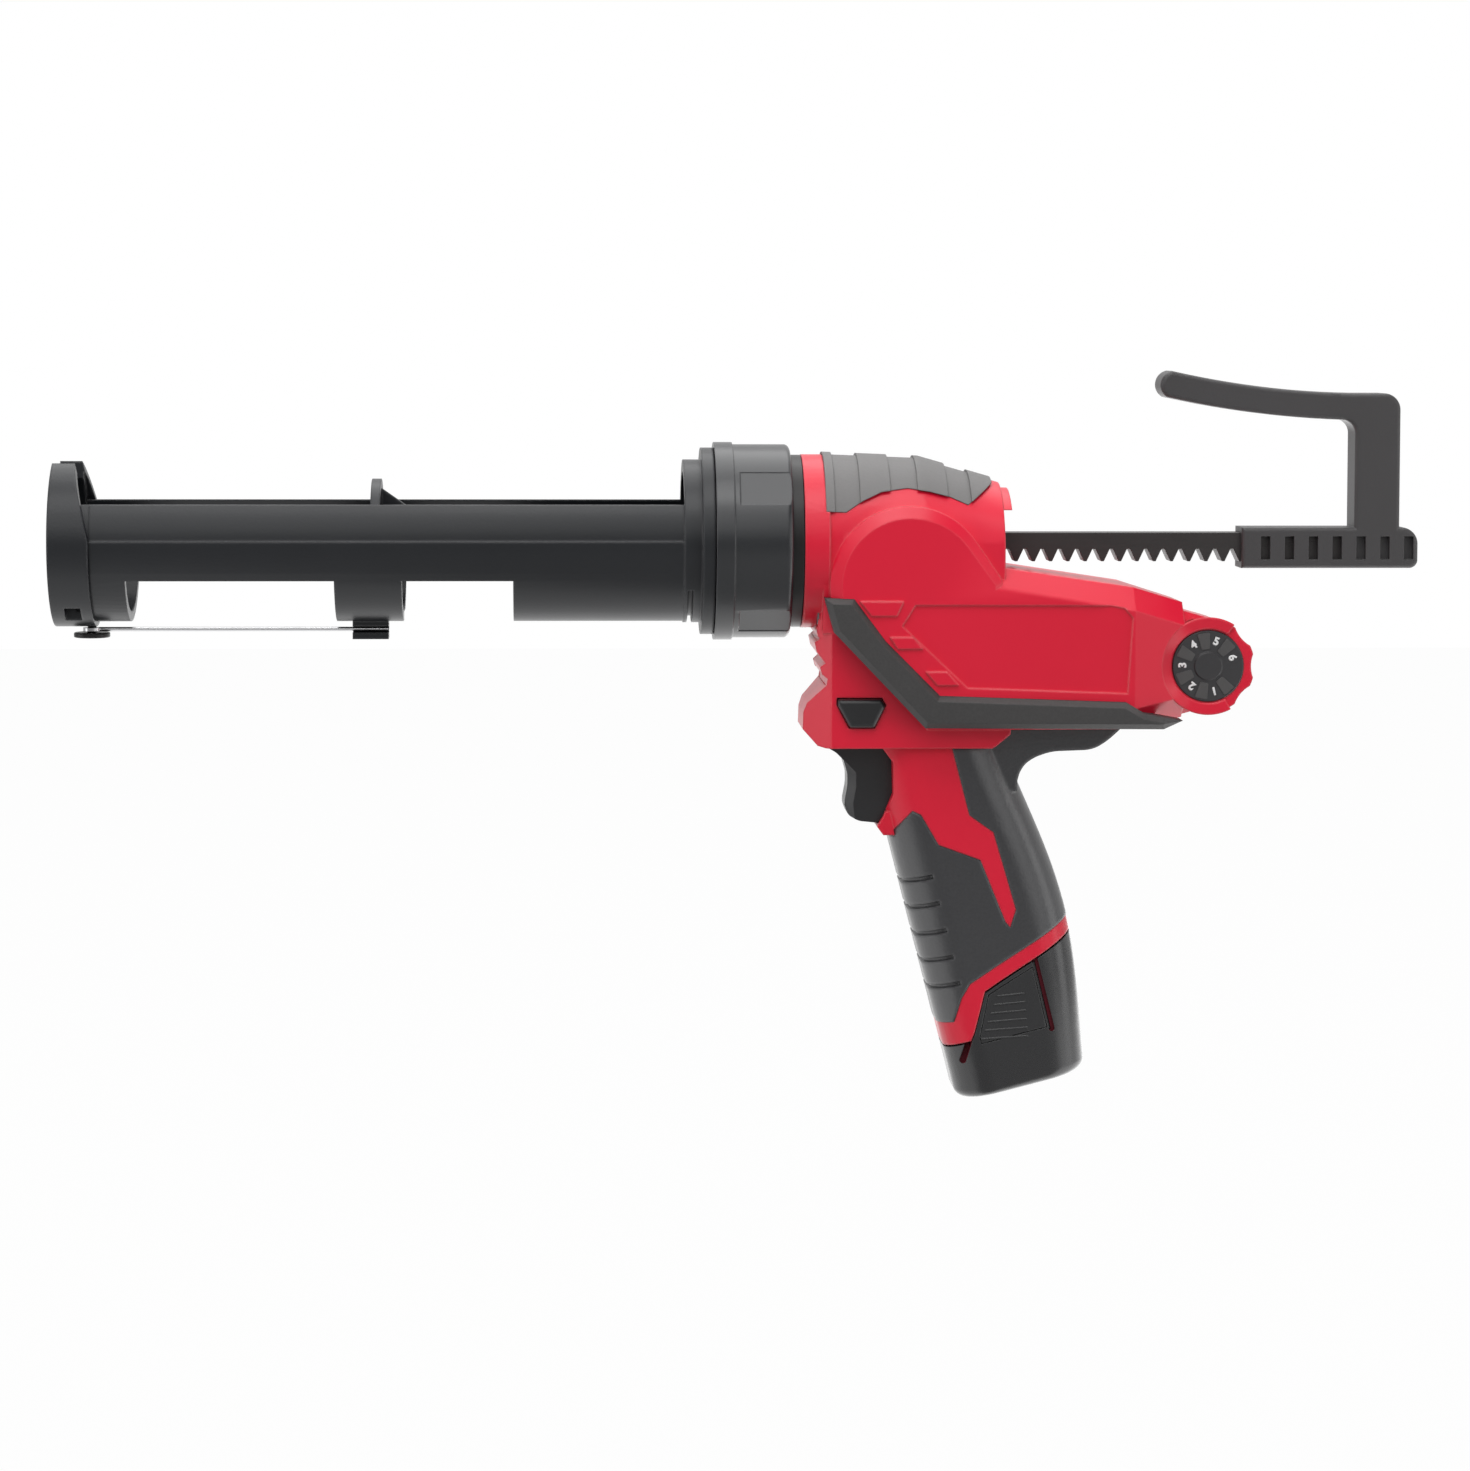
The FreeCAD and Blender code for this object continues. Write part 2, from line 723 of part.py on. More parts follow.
def make_nose():
    owner, sketch = revolved("retaining_collar", [
        ("collar_front", "carriage_radius + moving_gap"), ("collar_front", "collar_flange_radius"),
        ("collar_front + collar_flange", "collar_flange_radius"),
        ("collar_front + collar_flange", "collar_radius"),
        ("collar_rear - collar_round", "collar_radius"),
        ("collar_rear", "collar_radius - collar_round", "-collar_round"),
        ("collar_rear", "neck_radius + running_gap"),
        ("collar_front + collar_lip", "neck_radius + running_gap"),
        ("collar_front + collar_lip", "carriage_radius + moving_gap")])
    recess = outline(new_sketch(owner, "YZ", "collar_front + collar_flange + collar_round"), [
        ("-collar_recess_width / 2", "collar_radius - collar_recess_depth"),
        ("collar_recess_width / 2", "collar_radius - collar_recess_depth"),
        ("collar_recess_width / 2", "collar_radius + overrun"),
        ("-collar_recess_width / 2", "collar_radius + overrun")])
    pocket = grow("Pocket", owner, recess, "collar_length", flip=True)
    spin(owner, pocket, "4", sketch, "H_Axis")
    owner.Placement = Placement(Vector(), Rotation(Vector(1, 0, 0), 54))
    node("retaining_collar", owner)

    ring, _ = revolved("collar_snap_ring", [
        ("snap_start + seat_gap", "carriage_radius - snap_groove_depth + seat_gap"),
        ("snap_start + seat_gap", "carriage_radius + snap_ring_proud"),
        ("snap_start + snap_ring_thickness", "carriage_radius + snap_ring_proud"),
        ("snap_start + snap_ring_thickness", "carriage_radius - snap_groove_depth + seat_gap")])
    node("collar_snap_ring", ring)

    neck, _ = revolved("nose_neck", [
        ("neck_front", "passage_radius"), ("neck_front", "neck_radius"), ("neck_rear", "neck_radius"),
        ("neck_rear", "neck_waist"), ("neck_flange_front", "neck_waist"),
        ("neck_flange_front", "neck_flange"), ("frame_front", "neck_flange"), ("frame_front", "passage_radius")])
    holes = new_sketch(neck, "YZ", "frame_front")
    for place in neck_screw_places:
        circle(holes, *place, "neck_screw_radius + running_gap")
    grow("Pocket", neck, holes, "neck_flange_length - neck_screw_radius / 2")
    node("nose_neck", neck)


# Push rod: rack, plunger, pull handle

def make_rod():
    owner = new_body("rack_rod")
    side = outline(new_sketch(owner, "XZ"), [
        ("rod_front", "rack_tip"), ("rod_rear", "rack_tip"), ("rod_rear", "rod_top"), ("rod_front", "rod_top")])
    grow("Pad", owner, side, "rod_width", both=True)
    start = "pinion_place - rack_pitch * floor((pinion_place - rod_front - rod_head_gap) / rack_pitch)"
    slope = "tan(pressure_angle)"
    half_pitch = "rack_pitch / 4 + backlash / 2"
    root_half = f"{half_pitch} - (rack_root + rack_pitch_drop) * {slope}"
    tip_half = f"{half_pitch} + (rack_module + overrun) * {slope}"
    gap = outline(new_sketch(owner, "XZ"), [
        (f"{start} - ({root_half})", "rack_root"), (f"{start} - ({tip_half})", "rack_tip - overrun"),
        (f"{start} + ({tip_half})", "rack_tip - overrun"), (f"{start} + ({root_half})", "rack_root")])
    cut_gap = grow("Pocket", owner, gap, "rod_width + overrun", both=True)
    repeat(owner, cut_gap, "rack_teeth", "rack_pitch", gap, "H_Axis")
    pin_hole = circle(new_sketch(owner, "XZ"), "pin_x", "pin_z", "handle_pin_radius + running_gap")
    grow("Pocket", owner, pin_hole, "rod_width + overrun", both=True)
    node("rack_rod", owner)

    head, sketch = revolved("plunger_head", [
        ("plunger_front", "plunger_screw_radius + running_gap"), ("plunger_front", "plunger_radius"),
        ("plunger_back", "plunger_radius"), ("plunger_back", "plunger_screw_radius + running_gap")])
    fin = outline(new_sketch(head, "XZ"), [
        ("plunger_back", "rod_width"), ("plunger_back", "plunger_radius - plunger_thickness"),
        ("plunger_back + plunger_hub_length", "rod_width")])
    pad = grow("Pad", head, fin, "plunger_fin", both=True)
    spin(head, pad, "4", sketch, "H_Axis")
    collar = new_sketch(head, "YZ", "plunger_back")
    circle(collar, "0", "0", "plunger_hub_radius")
    hollow = [("-rod_width / 2 - running_gap", "rack_tip - running_gap"),
              ("rod_width / 2 + running_gap", "rack_tip - running_gap"),
              ("rod_width / 2 + running_gap", "rod_top + running_gap"),
              ("-rod_width / 2 - running_gap", "rod_top + running_gap")]
    outline(collar, hollow)
    grow("Pad", head, collar, "plunger_hub_length")
    node("plunger_head", head)

    node("plunger_screw", fuse(
        "plunger_screw",
        bar("plunger_screw_cap", "X", "plunger_screw_head", "plunger_front - plunger_screw_radius", "plunger_front"),
        bar("plunger_screw_shank", "X", "plunger_screw_radius", "plunger_front", "plunger_back")))


def make_handle():
    owner = new_body("pull_handle")
    shape = outline(new_sketch(owner, "XZ"), [
        ("handle_start", "-handle_block_bottom"),
        ("handle_end - handle_corner / 2", "-handle_block_bottom"),
        ("handle_end", "handle_corner / 2 - handle_block_bottom", "handle_corner / 2"),
        ("handle_end", "handle_block_top - handle_corner"),
        ("handle_end - handle_corner", "handle_block_top", "handle_corner"),
        ("handle_start + column_rear", "handle_block_top"),
        ("handle_start + column_rear", "handle_top - handle_corner"),
        ("handle_start + column_rear - handle_corner", "handle_top", "handle_corner"),
        ("handle_start + column_start", "handle_top"),
        ("arm_tip + arm_depth / 2", "handle_top + arm_lift", "-arm_bend_radius"),
        ("arm_tip + arm_depth / 3", "handle_top + arm_lift - arm_depth", "arm_tip_radius"),
        ("handle_start + column_start - handle_crotch", "handle_top - arm_depth", "arm_bend_radius + arm_depth"),
        ("handle_start + column_start", "handle_top - arm_depth - handle_crotch", "-handle_crotch"),
        ("handle_start + column_start", "handle_block_top"),
        ("handle_start", "handle_block_top")])
    whole = grow("Pad", owner, shape, "handle_width", both=True)
    soften(owner, "Fillet", whole, "handle_edge",
           lambda edge: abs(edge.CenterOfMass.y) > num("handle_width / 2 - seat_gap"))
    socket = outline(new_sketch(owner, "YZ", "handle_start - overrun"), [
        ("-rod_width / 2 - running_gap", "rack_tip - running_gap"),
        ("rod_width / 2 + running_gap", "rack_tip - running_gap"),
        ("rod_width / 2 + running_gap", "rod_top + running_gap"),
        ("-rod_width / 2 - running_gap", "rod_top + running_gap")])
    grow("Pocket", owner, socket, "handle_socket + overrun + seat_gap", flip=True)
    middle = "(handle_block_top - handle_block_bottom) / 2"
    low = f"{middle} - handle_slot_height / 2"
    high = f"{middle} + handle_slot_height / 2"
    left = "handle_start + handle_slot_start - handle_slot / 2"
    right = "handle_start + handle_slot_start + handle_slot / 2"
    for place, flip in (("handle_width / 2", False), ("-handle_width / 2", True)):
        slot = outline(new_sketch(owner, "XZ", place), [(left, low), (right, low), (right, high), (left, high)])
        pocket = grow("Pocket", owner, slot, "handle_slot_depth", flip=flip)
        repeat(owner, pocket, "handle_slots", "handle_slot_pitch", slot, "H_Axis")
    pin_hole = circle(new_sketch(owner, "XZ", "-handle_width / 2"), "pin_x", "pin_z",
                      "handle_pin_radius + running_gap")
    grow("Pocket", owner, pin_hole, "handle_width - handle_pin_radius", flip=True)
    node("pull_handle", owner)
    node("handle_pin", bar("handle_pin", "Y", "handle_pin_radius", "handle_pin_radius - handle_width / 2 + seat_gap",
                           "handle_width / 2 - seat_gap", "pin_x", "pin_z"))


# Gears

def flank_half(radius, pitch_radius, base_radius, pitch_half):
    """Half angle of an involute tooth at a radius."""
    def involute(at):
        slope = math.acos(min(1, base_radius / at))
        return math.tan(slope) - slope
    return pitch_half + involute(pitch_radius) - involute(max(radius, base_radius))


def ring_of_teeth(count, flank, phase):
    """Closed wire from the (radius, half angle) points of one flank, root first."""
    points = []
    for tooth in range(count):
        middle = phase + 2 * math.pi * tooth / count
        rising = [(radius, middle - half) for radius, half in flank]
        falling = [(radius, middle + half) for radius, half in reversed(flank)]
        points += [Vector(radius * math.cos(turned), radius * math.sin(turned), 0)
                   for radius, turned in rising + falling]
    return Part.makePolygon(points + points[:1])


def tooth_levels():
    """Heights of the flank points over the pitch line, in modules."""
    return [-1 - num("root_clearance / rack_module"), -0.5, 0, 0.5, 1]


def spur_gear(module, teeth, width, bore, phase=0):
    """Spur gear about Z from zero to its width."""
    count = int(num(teeth))
    size = num(module)
    pitch_radius = size * count / 2
    base_radius = pitch_radius * math.cos(math.radians(num("pressure_angle")))
    pitch_half = (math.pi * size / 4 - num("backlash") * size / num("rack_module") / 2) / pitch_radius
    flank = [(pitch_radius + level * size,
              flank_half(pitch_radius + level * size, pitch_radius, base_radius, pitch_half))
             for level in tooth_levels()]
    body = Part.Face(ring_of_teeth(count, flank, phase)).extrude(Vector(0, 0, num(width)))
    return body.cut(Part.makeCylinder(num(bore), num(width)))


def bevel_gear(teeth, mate, hub, bore, phase=0):
    """Straight bevel gear about Z with its pitch apex at zero and its hub on the far side."""
    count = int(num(teeth))
    size = num("bevel_module")
    radius = size * count / 2
    depth = size * num(mate) / 2
    cone = math.atan2(radius, depth)
    virtual = radius / math.cos(cone)
    base_radius = virtual * math.cos(math.radians(num("pressure_angle")))
    pitch_half = (math.pi * size / 4 - num("backlash") * size / num("rack_module") / 2) / virtual
    flank = []
    for level in tooth_levels():
        rise = level * size
        across = (virtual + rise) * flank_half(virtual + rise, virtual, base_radius, pitch_half)
        out = radius + rise * math.cos(cone)
        flank.append((out * depth / (depth - rise * math.sin(cone)), across / out))
    big = ring_of_teeth(count, flank, phase)
    ratio = 1 - num("bevel_face") / math.hypot(radius, depth)
    small = big.copy()
    small.scale(ratio)
    big.translate(Vector(0, 0, depth))
    small.translate(Vector(0, 0, depth * ratio))
    blank = Part.makeCylinder(radius + size * math.cos(cone), depth + num(hub))
    teeth_solid = Part.makeLoft([small, big], True, True).common(blank)
    back = Part.makeCylinder(flank[0][0], num(hub), Vector(0, 0, depth))
    return teeth_solid.fuse(back).cut(Part.makeCylinder(num(bore), depth + num("bevel_hub + overrun")))


def along(axis, x, y, z):
    """Placement that turns Z to an axis."""
    return Placement(Vector(num(x), num(y), num(z)), TURNS[axis])


def make_gears():
    half_step = math.pi / num("spur_pinion_teeth")
    node("rack_pinion", feature(
        "rack_pinion", spur_gear("rack_module", "rack_pinion_teeth", "pinion_width", "output_shaft_radius"),
        along("Y", "pinion_place", "-pinion_width / 2", "pinion_z")))
    node("output_gear", feature(
        "output_gear",
        spur_gear("drive_module", "output_gear_teeth", "output_gear_width", "output_shaft_radius"),
        along("Y", "pinion_place", "-output_gear_inset - output_gear_width", "pinion_z")))
    node("spur_pinion", feature(
        "spur_pinion",
        spur_gear("drive_module", "spur_pinion_teeth", "output_gear_width + 2 * backlash",
                  "cross_shaft_radius", half_step),
        along("Y", "pinion_place", "-output_gear_inset - output_gear_width - backlash", "drive_z")))
    node("bevel_gear", feature(
        "bevel_gear", bevel_gear("bevel_gear_teeth", "bevel_pinion_teeth", "bevel_hub", "cross_shaft_radius"),
        along("Y", "pinion_place", "0", "drive_z")))
    pinion_step = math.pi / num("bevel_pinion_teeth")
    node("bevel_pinion", feature(
        "bevel_pinion",
        bevel_gear("bevel_pinion_teeth", "bevel_gear_teeth", "bevel_hub", "bevel_shaft_radius", pinion_step),
        along("X", "pinion_place", "0", "drive_z")))
    ends = "frame_half + running_gap"
    node("output_shaft", bar("output_shaft", "Y", "output_shaft_radius", f"-({ends})", ends,
                             "pinion_place", "pinion_z"))
    node("cross_shaft", bar("cross_shaft", "Y", "cross_shaft_radius", f"-({ends})", ends,
                            "pinion_place", "drive_z"))
    node("gearbox_shaft", bar("gearbox_shaft", "X", "bevel_shaft_radius",
                              "pinion_place + bevel_pinion_back * (1 - bevel_face / bevel_cone)", "frame_rear - moving_gap",
                              "0", "drive_z"))


def make_frame():
    """Gear frame with its bushes and the screws that hold it to the neck."""
    rims = "frame_half - frame_side"
    shell = fuse(
        "frame_shell",
        block("frame_front_plate", ("frame_front", "frame_front + frame_plate"),
              ("-frame_front_half", "frame_front_half"), ("-frame_front_drop", "frame_front_height")),
        block("frame_left_plate", ("frame_front", "frame_rear"), ("-frame_half", f"-({rims})"),
              ("-frame_bottom", "frame_top")),
        block("frame_right_plate", ("frame_front", "frame_rear"), (rims, "frame_half"),
              ("-frame_bottom", "frame_top")),
        block("frame_gearbox_plate", ("frame_rear - frame_plate", "frame_rear"), ("-frame_half", "frame_half"),
              ("-frame_bottom", "-frame_gearbox_top")))
    reach = "frame_half + overrun"
    holes = [bar(f"frame_screw_hole_{index}", "X", "neck_screw_radius + running_gap", "frame_front - overrun",
                 "frame_front + frame_plate + overrun", *place) for index, place in enumerate(neck_screw_places)]
    node("gear_frame", cut(
        "gear_frame", shell,
        block("rod_window", ("frame_front - overrun", "frame_front + frame_plate + overrun"),
              ("-rod_width / 2 - moving_gap", "rod_width / 2 + moving_gap"),
              ("rack_tip - moving_gap", "rod_top + moving_gap")),
        bar("output_bush_holes", "Y", "output_shaft_radius + running_gap + bush_wall", f"-({reach})", reach,
            "pinion_place", "pinion_z"),
        bar("cross_bush_holes", "Y", "cross_shaft_radius + running_gap + bush_wall", f"-({reach})", reach,
            "pinion_place", "drive_z"),
        bar("gearbox_shaft_hole", "X", "bevel_shaft_radius + running_gap", "frame_rear - frame_plate - overrun",
            "frame_rear + overrun", "0", "drive_z"),
        *holes))
    bushes = []
    for label, radius, level in (("output", "output_shaft_radius", "pinion_z"),
                                 ("cross", "cross_shaft_radius", "drive_z")):
        for side, low, high in (("left", "-frame_half", f"-({rims})"), ("right", rims, "frame_half")):
            name = f"{label}_bush_{side}"
            outer = bar(name + "_outer", "Y", f"{radius} + running_gap + bush_wall", low, high,
                        "pinion_place", level)
            inner = bar(name + "_bore", "Y", f"{radius} + running_gap", f"{low} - overrun", f"{high} + overrun",
                        "pinion_place", level)
            bushes.append(cut(name, outer, inner))
    node("shaft_bushes", fuse("shaft_bushes", *bushes))
    screws = []
    for index, place in enumerate(neck_screw_places):
        screws.append(bar(f"neck_screw_shank_{index}", "X", "neck_screw_radius",
                          "neck_flange_front + neck_screw_radius", "frame_front + frame_plate", *place))
        screws.append(bar(f"neck_screw_cap_{index}", "X", "neck_screw_head", "frame_front + frame_plate",
                          "frame_front + frame_plate + neck_screw_head_length", *place))
    node("neck_screws", fuse("neck_screws", *screws))


def make_motor():
    node("gearbox_case", bar("gearbox_case", "X", "gearbox_radius", "frame_rear", "motor_front", "0", "drive_z"))
    node("motor_can", bar("motor_can", "X", "motor_radius", "motor_front", "motor_rear", "0", "drive_z"))
    node("motor_end_cap", bar("motor_end_cap", "X", "motor_cap_radius", "motor_rear", "motor_end", "0", "drive_z"))
    guide = block("rod_guide_body", ("head_rear - guide_length", "head_rear"),
                  ("-guide_half", "guide_half"), ("-guide_half", "guide_half"))
    node("rear_rod_guide", cut("rear_rod_guide", guide, block(
        "rod_guide_bore", ("head_rear - guide_length - overrun", "head_rear + overrun"),
        ("-rod_width / 2 - moving_gap", "rod_width / 2 + moving_gap"),
        ("rack_tip - moving_gap", "rod_top + moving_gap"))))


# Outlines of the moulded body, as shares of the lengths that carry them, front to back and top to bottom

chin_shares = [
    (0.086, 0.268), (0.067, 0.436), (0.083, 0.466), (0.057, 0.485), (0.067, 0.53), (0.109, 0.584),
    (0.083, 0.605), (0.093, 0.639), (0.12, 0.659), (0.114, 0.693), (0.021, 0.784), (0.003, 0.831), (0, 0.915),
    (0.073, 0.991), (0.114, 1), (0.965, 1), (0.985, 0.99), (1.06, 0.93), (1.06, 0.268)]
chin_plan_shares = [(0, 0.62), (0.14, 1), (1.1, 1)]
pad_shares = [
    (0.01, -0.4), (0.01, 0.62), (0.12, 0.63), (0.215, 0.5), (0.32, 0.4), (0.465, 0.36), (0.59, 0.4),
    (0.7, 0.46), (0.8, 0.55), (0.955, 0.3), (0.955, -0.4)]
pad_rib_shares = [(0.01, 0.06), (0.2, 0.37), (0.52, 0.69), (0.82, 0.95)]
bumper_shares = [
    (0, 0), (0.092, 0.006), (0.19, 0.319), (0.36, 0.727), (0.943, 0.779), (1, 0.861), (1.12, 0.915),
    (1.06, 0.98), (0.315, 0.97), (0.115, 0.471), (0.032, 0.262)]
cheek_shares = [(0.05, 0.02), (0.15, 0.4), (0.33, 0.8), (0.5, 0.8), (0.5, 0.02)]
panel_shares = [(0.024, 0), (-0.034, 0.233), (0.259, 0.931), (0.978, 1), (1, 0.15), (0.963, 0.04), (0.9, 0.01)]
side_pad_shares = [
    [(0.02, 0.006), (0.47, 0.006), (0.4, 0.18), (0.14, 0.18)],
    [(0.33, 0.43), (0.57, 0.43), (0.67, 0.57), (0.41, 0.57)],
    [(0.7, 0.84), (0.92, 0.84), (1.04, 1), (0.82, 1)]]
trigger_shares = [
    (0, 0), (0.154, 0.087), (0.257, 0.192), (0.31, 0.381), (0.31, 0.532), (0.271, 0.74), (0.279, 0.815),
    (0.321, 0.909), (0.454, 0.977), (0.686, 1), (0.782, 0.95), (0.82, 0.84), (1, 0.84), (1, 0)]
trigger_bay_shares = [
    (-0.6, 0), (0.72, 0), (0.87, 0.2), (0.88, 0.62), (0.76, 0.92), (0.68, 1.05), (0.83, 1.25), (-0.6, 1.25)]
guard_shares = [(0.6, 0.85), (1.05, 0.85), (1.05, 1.16), (0.6, 1.16)]
lock_shares = [(0, 0), (0.92, 0), (1, 0.24), (0.77, 1), (0.25, 1), (0, 0.24)]
grip_section_shares = [
    (-0.16, 0.618, 0.273, 0.86), (0.157, 0.618, 0.295, 0.91), (0.472, 0.618, 0.382, 0.97),
    (0.748, 0.618, 0.338, 1), (0.968, 0.622, 0.255, 1)]
tongue_shares = [
    (-0.75, -0.2), (-0.09, -0.2), (-0.089, 0.175), (0.036, 0.239), (0.053, 0.468), (-0.013, 0.513),
    (-0.035, 0.493), (-0.093, 0.306), (-0.333, 0.235), (-0.396, 0.14), (-0.442, 0.124), (-0.54, 0.154),
    (-0.75, 0.22)]
band_shares = [
    (-0.75, 0.735), (-0.52, 0.738), (-0.436, 0.674), (-0.36, 0.64), (-0.138, 0.606), (0.6, 0.5)]
pack_shares = [
    (-0.75, 0.812), (-0.444, 0.8), (-0.411, 0.78), (-0.278, 0.672), (-0.167, 0.654), (0.6, 0.54)]
latch_shares = [(-0.385, 0.795), (-0.262, 0.683), (-0.16, 0.668), (0.068, 0.636), (0.062, 0.815), (-0.385, 0.815)]
groove_shares = [0.318, 0.396, 0.475, 0.553, 0.631]
groove_reach_shares = (-0.75, -0.42)
trigger_back_share = 0.82
trigger_step_share = 0.84
heel_shares = [
    (0, 0), (0.92, 0), (0.871, 0.12), (0.8, 0.265), (0.722, 0.365), (0.487, 0.385), (0.376, 0.475),
    (0.314, 0.6), (0.294, 0.765), (0.294, 0.91), (0, 0.91)]


def spread(shares, start, length, top, drop):
    """Points in the XZ plane from (along, down) shares."""
    return [Vector(num(start) + along_share * num(length), 0, num(top) - down_share * num(drop))
            for along_share, down_share in shares]


def prism(points, low, high):
    """Outline in the XZ plane drawn out along Y."""
    solid = Part.Face(Part.makePolygon(points + points[:1])).extrude(Vector(0, num(high) - num(low), 0))
    solid.translate(Vector(0, num(low), 0))
    return solid


def box(x, y, z):
    """Box between pairs of expressions."""
    low = [num(pair[0]) for pair in (x, y, z)]
    high = [num(pair[1]) for pair in (x, y, z)]
    return Part.makeBox(*[top - bottom for bottom, top in zip(low, high)], Vector(*low))


def plan(edge, low, high):
    """Outline of (x, half width) pairs, mirrored across the split plane and drawn up along Z."""
    left = [Vector(num(x), -num(half), num(low)) for x, half in edge]
    spots = left + [Vector(spot.x, -spot.y, spot.z) for spot in reversed(left)]
    return Part.Face(Part.makePolygon(spots + spots[:1])).extrude(Vector(0, 0, num(high) - num(low)))


def rod(axis, radius, start, stop, first="0", second="0"):
    """Round bar along an axis."""
    places = {"X": (start, first, second), "Y": (first, start, second)}
    solid = Part.makeCylinder(num(radius), num(stop) - num(start))
    solid.Placement = along(axis, *places[axis])
    return solid


def merged(solids):
    return solids[0].fuse(solids[1:]).removeSplitter()


def loft(sections, ruled=True):
    return Part.makeLoft(sections, True, ruled)


# Forms of the moulded body; swell moves every wall outwards

def head_section(x, top, half, swell):
    place = num(x)
    wide = num(half) + swell
    low = num("chin_half") * num(half) / num("head_half") + swell
    drop = -num("head_drop")
    shoulder = -num("head_shoulder")
    spots = [Vector(place, -low, drop), Vector(place, -wide, shoulder), Vector(place, -wide, 0),
             Vector(place, wide, 0), Vector(place, wide, shoulder), Vector(place, low, drop)]
    crown = Part.Arc(spots[2], Vector(place, 0, num(top) + swell), spots[3]).toShape()
    lines = [Part.makeLine(spots[first], spots[second]) for first, second in ((0, 1), (1, 2), (3, 4), (4, 5), (5, 0))]
    return Part.Wire(lines[:2] + [crown] + lines[2:])


def head_form(swell):
    return loft([
        head_section("head_start", "head_top", "head_half", swell),
        head_section("head_start + head_mid", "head_mid_top", "head_half", swell),
        head_section("head_rear", "head_back_top", "head_back_half", swell)])


def eight_sided(x, half, top, bottom, corner):
    """Upright section with cut corners."""
    place, wide, high, low, cut_in = num(x), num(half), num(top), num(bottom), num(corner)
    ring = [(-wide + cut_in, high), (wide - cut_in, high), (wide, high - cut_in), (wide, low + cut_in),
            (wide - cut_in, low), (cut_in - wide, low), (-wide, low + cut_in), (-wide, high - cut_in)]
    spots = [Vector(place, y, z) for y, z in ring]
    return Part.makePolygon(spots + spots[:1])


def barrel_form():
    body = loft([
        eight_sided("barrel_start", "barrel_half", "-barrel_start_top", "-barrel_bottom", "barrel_chamfer"),
        eight_sided("barrel_start + barrel_mid", "barrel_mid_half", "-barrel_mid_top", "-barrel_bottom",
                    "barrel_chamfer"),
        eight_sided("barrel_rear", "barrel_end_half", "-barrel_end_top", "-barrel_end_bottom", "barrel_chamfer")])
    tail = loft([
        eight_sided("barrel_rear", "tail_half", "-tail_top", "-tail_bottom", "barrel_chamfer / 2"),
        eight_sided("tail_rear - dial_radius", "tail_half", "-tail_end_top", "-tail_end_bottom",
                    "barrel_chamfer / 2")])
    return [body, tail]


def between_sides(inset):
    """Everything between the barrel's sides, which close in towards the tail."""
    edge = [("chin_front", f"barrel_half - {inset}"), ("barrel_start", f"barrel_half - {inset}"),
            ("barrel_start + barrel_mid", f"barrel_mid_half - {inset}"), ("barrel_rear", f"barrel_end_half - {inset}")]
    return plan(edge, "-barrel_bottom", "head_top")


def boss_run(radius, level):
    """Section of the straight edge that leads from the boss down to the barrel."""
    lean = math.radians(num("boss_lean"))
    centre = Vector(num("pinion_place"), level, -num("boss_drop"))
    top = centre + Vector(math.cos(lean), 0, math.sin(lean)) * num(radius)
    foot = top + Vector(math.sin(lean), 0, -math.cos(lean)) * num("boss_run")
    low = -num("panel_top")
    return Part.makePolygon([centre, top, foot, Vector(foot.x, level, low), Vector(centre.x, level, low), centre])


def boss_form():
    """Gear boss and the cheek below it, level with the barrel's sides."""
    place = Vector(num("pinion_place"), 0, -num("boss_drop"))
    flank = num("barrel_half - boss_bevel")
    face = num("barrel_half")
    cheek = spread(cheek_shares, "head_start", "bumper_length", "-bumper_top", "barrel_bottom - bumper_top")
    solids = [rod("Y", "boss_radius", "boss_bevel - barrel_half", "barrel_half - boss_bevel", "pinion_place", "-boss_drop"),
              prism(cheek, "-barrel_half", "barrel_half")]
    for side in (-1, 1):
        solids.append(Part.makeCone(num("boss_radius"), num("boss_face_radius"), num("boss_bevel"),
                                    place + Vector(0, side * flank, 0), Vector(0, side, 0)))
        solids.append(loft([boss_run("boss_radius", side * flank / 2), boss_run("boss_radius", side * flank),
                            boss_run("boss_face_radius", side * face)]))
    return merged(solids).common(between_sides("0"))


def chin_form():
    side = prism(spread(chin_shares, "chin_front", "chin_length", "0", "chin_drop"), "-chin_half", "chin_half")
    edge = [(f"chin_front + chin_length * {along_share}", f"chin_half * {width_share}")
            for along_share, width_share in chin_plan_shares]
    return side.common(plan(edge, "-chin_drop - overrun", "overrun"))


def grip_frame(solid):
    """Move a solid from the grip's own frame to the tool."""
    solid.Placement = Placement(Vector(num("grip_x"), 0, -num("grip_drop")),
                                Rotation(Vector(0, 1, 0), -num("grip_tilt"))).multiply(solid.Placement)
    return solid


def rounded(front, back, half, corner, level):
    """Round-cornered section across the grip axis."""
    left, right = front + corner, back - corner
    side = half - corner
    bend = corner * math.sqrt(0.5)
    edges = []
    corners = [(left, -side, -1, -1), (right, -side, 1, -1), (right, side, 1, 1), (left, side, -1, 1)]
    arcs = []
    for x, y, out_x, out_y in corners:
        on_side = Vector(x, y + out_y * corner, level)
        on_end = Vector(x + out_x * corner, y, level)
        middle = Vector(x + out_x * bend, y + out_y * bend, level)
        arcs.append((on_end, middle, on_side) if out_x * out_y > 0 else (on_side, middle, on_end))
    for index, spots in enumerate(arcs):
        edges.append(Part.Arc(*spots).toShape())
        edges.append(Part.makeLine(spots[2], arcs[(index + 1) % 4][0]))
    return Part.Wire(edges)


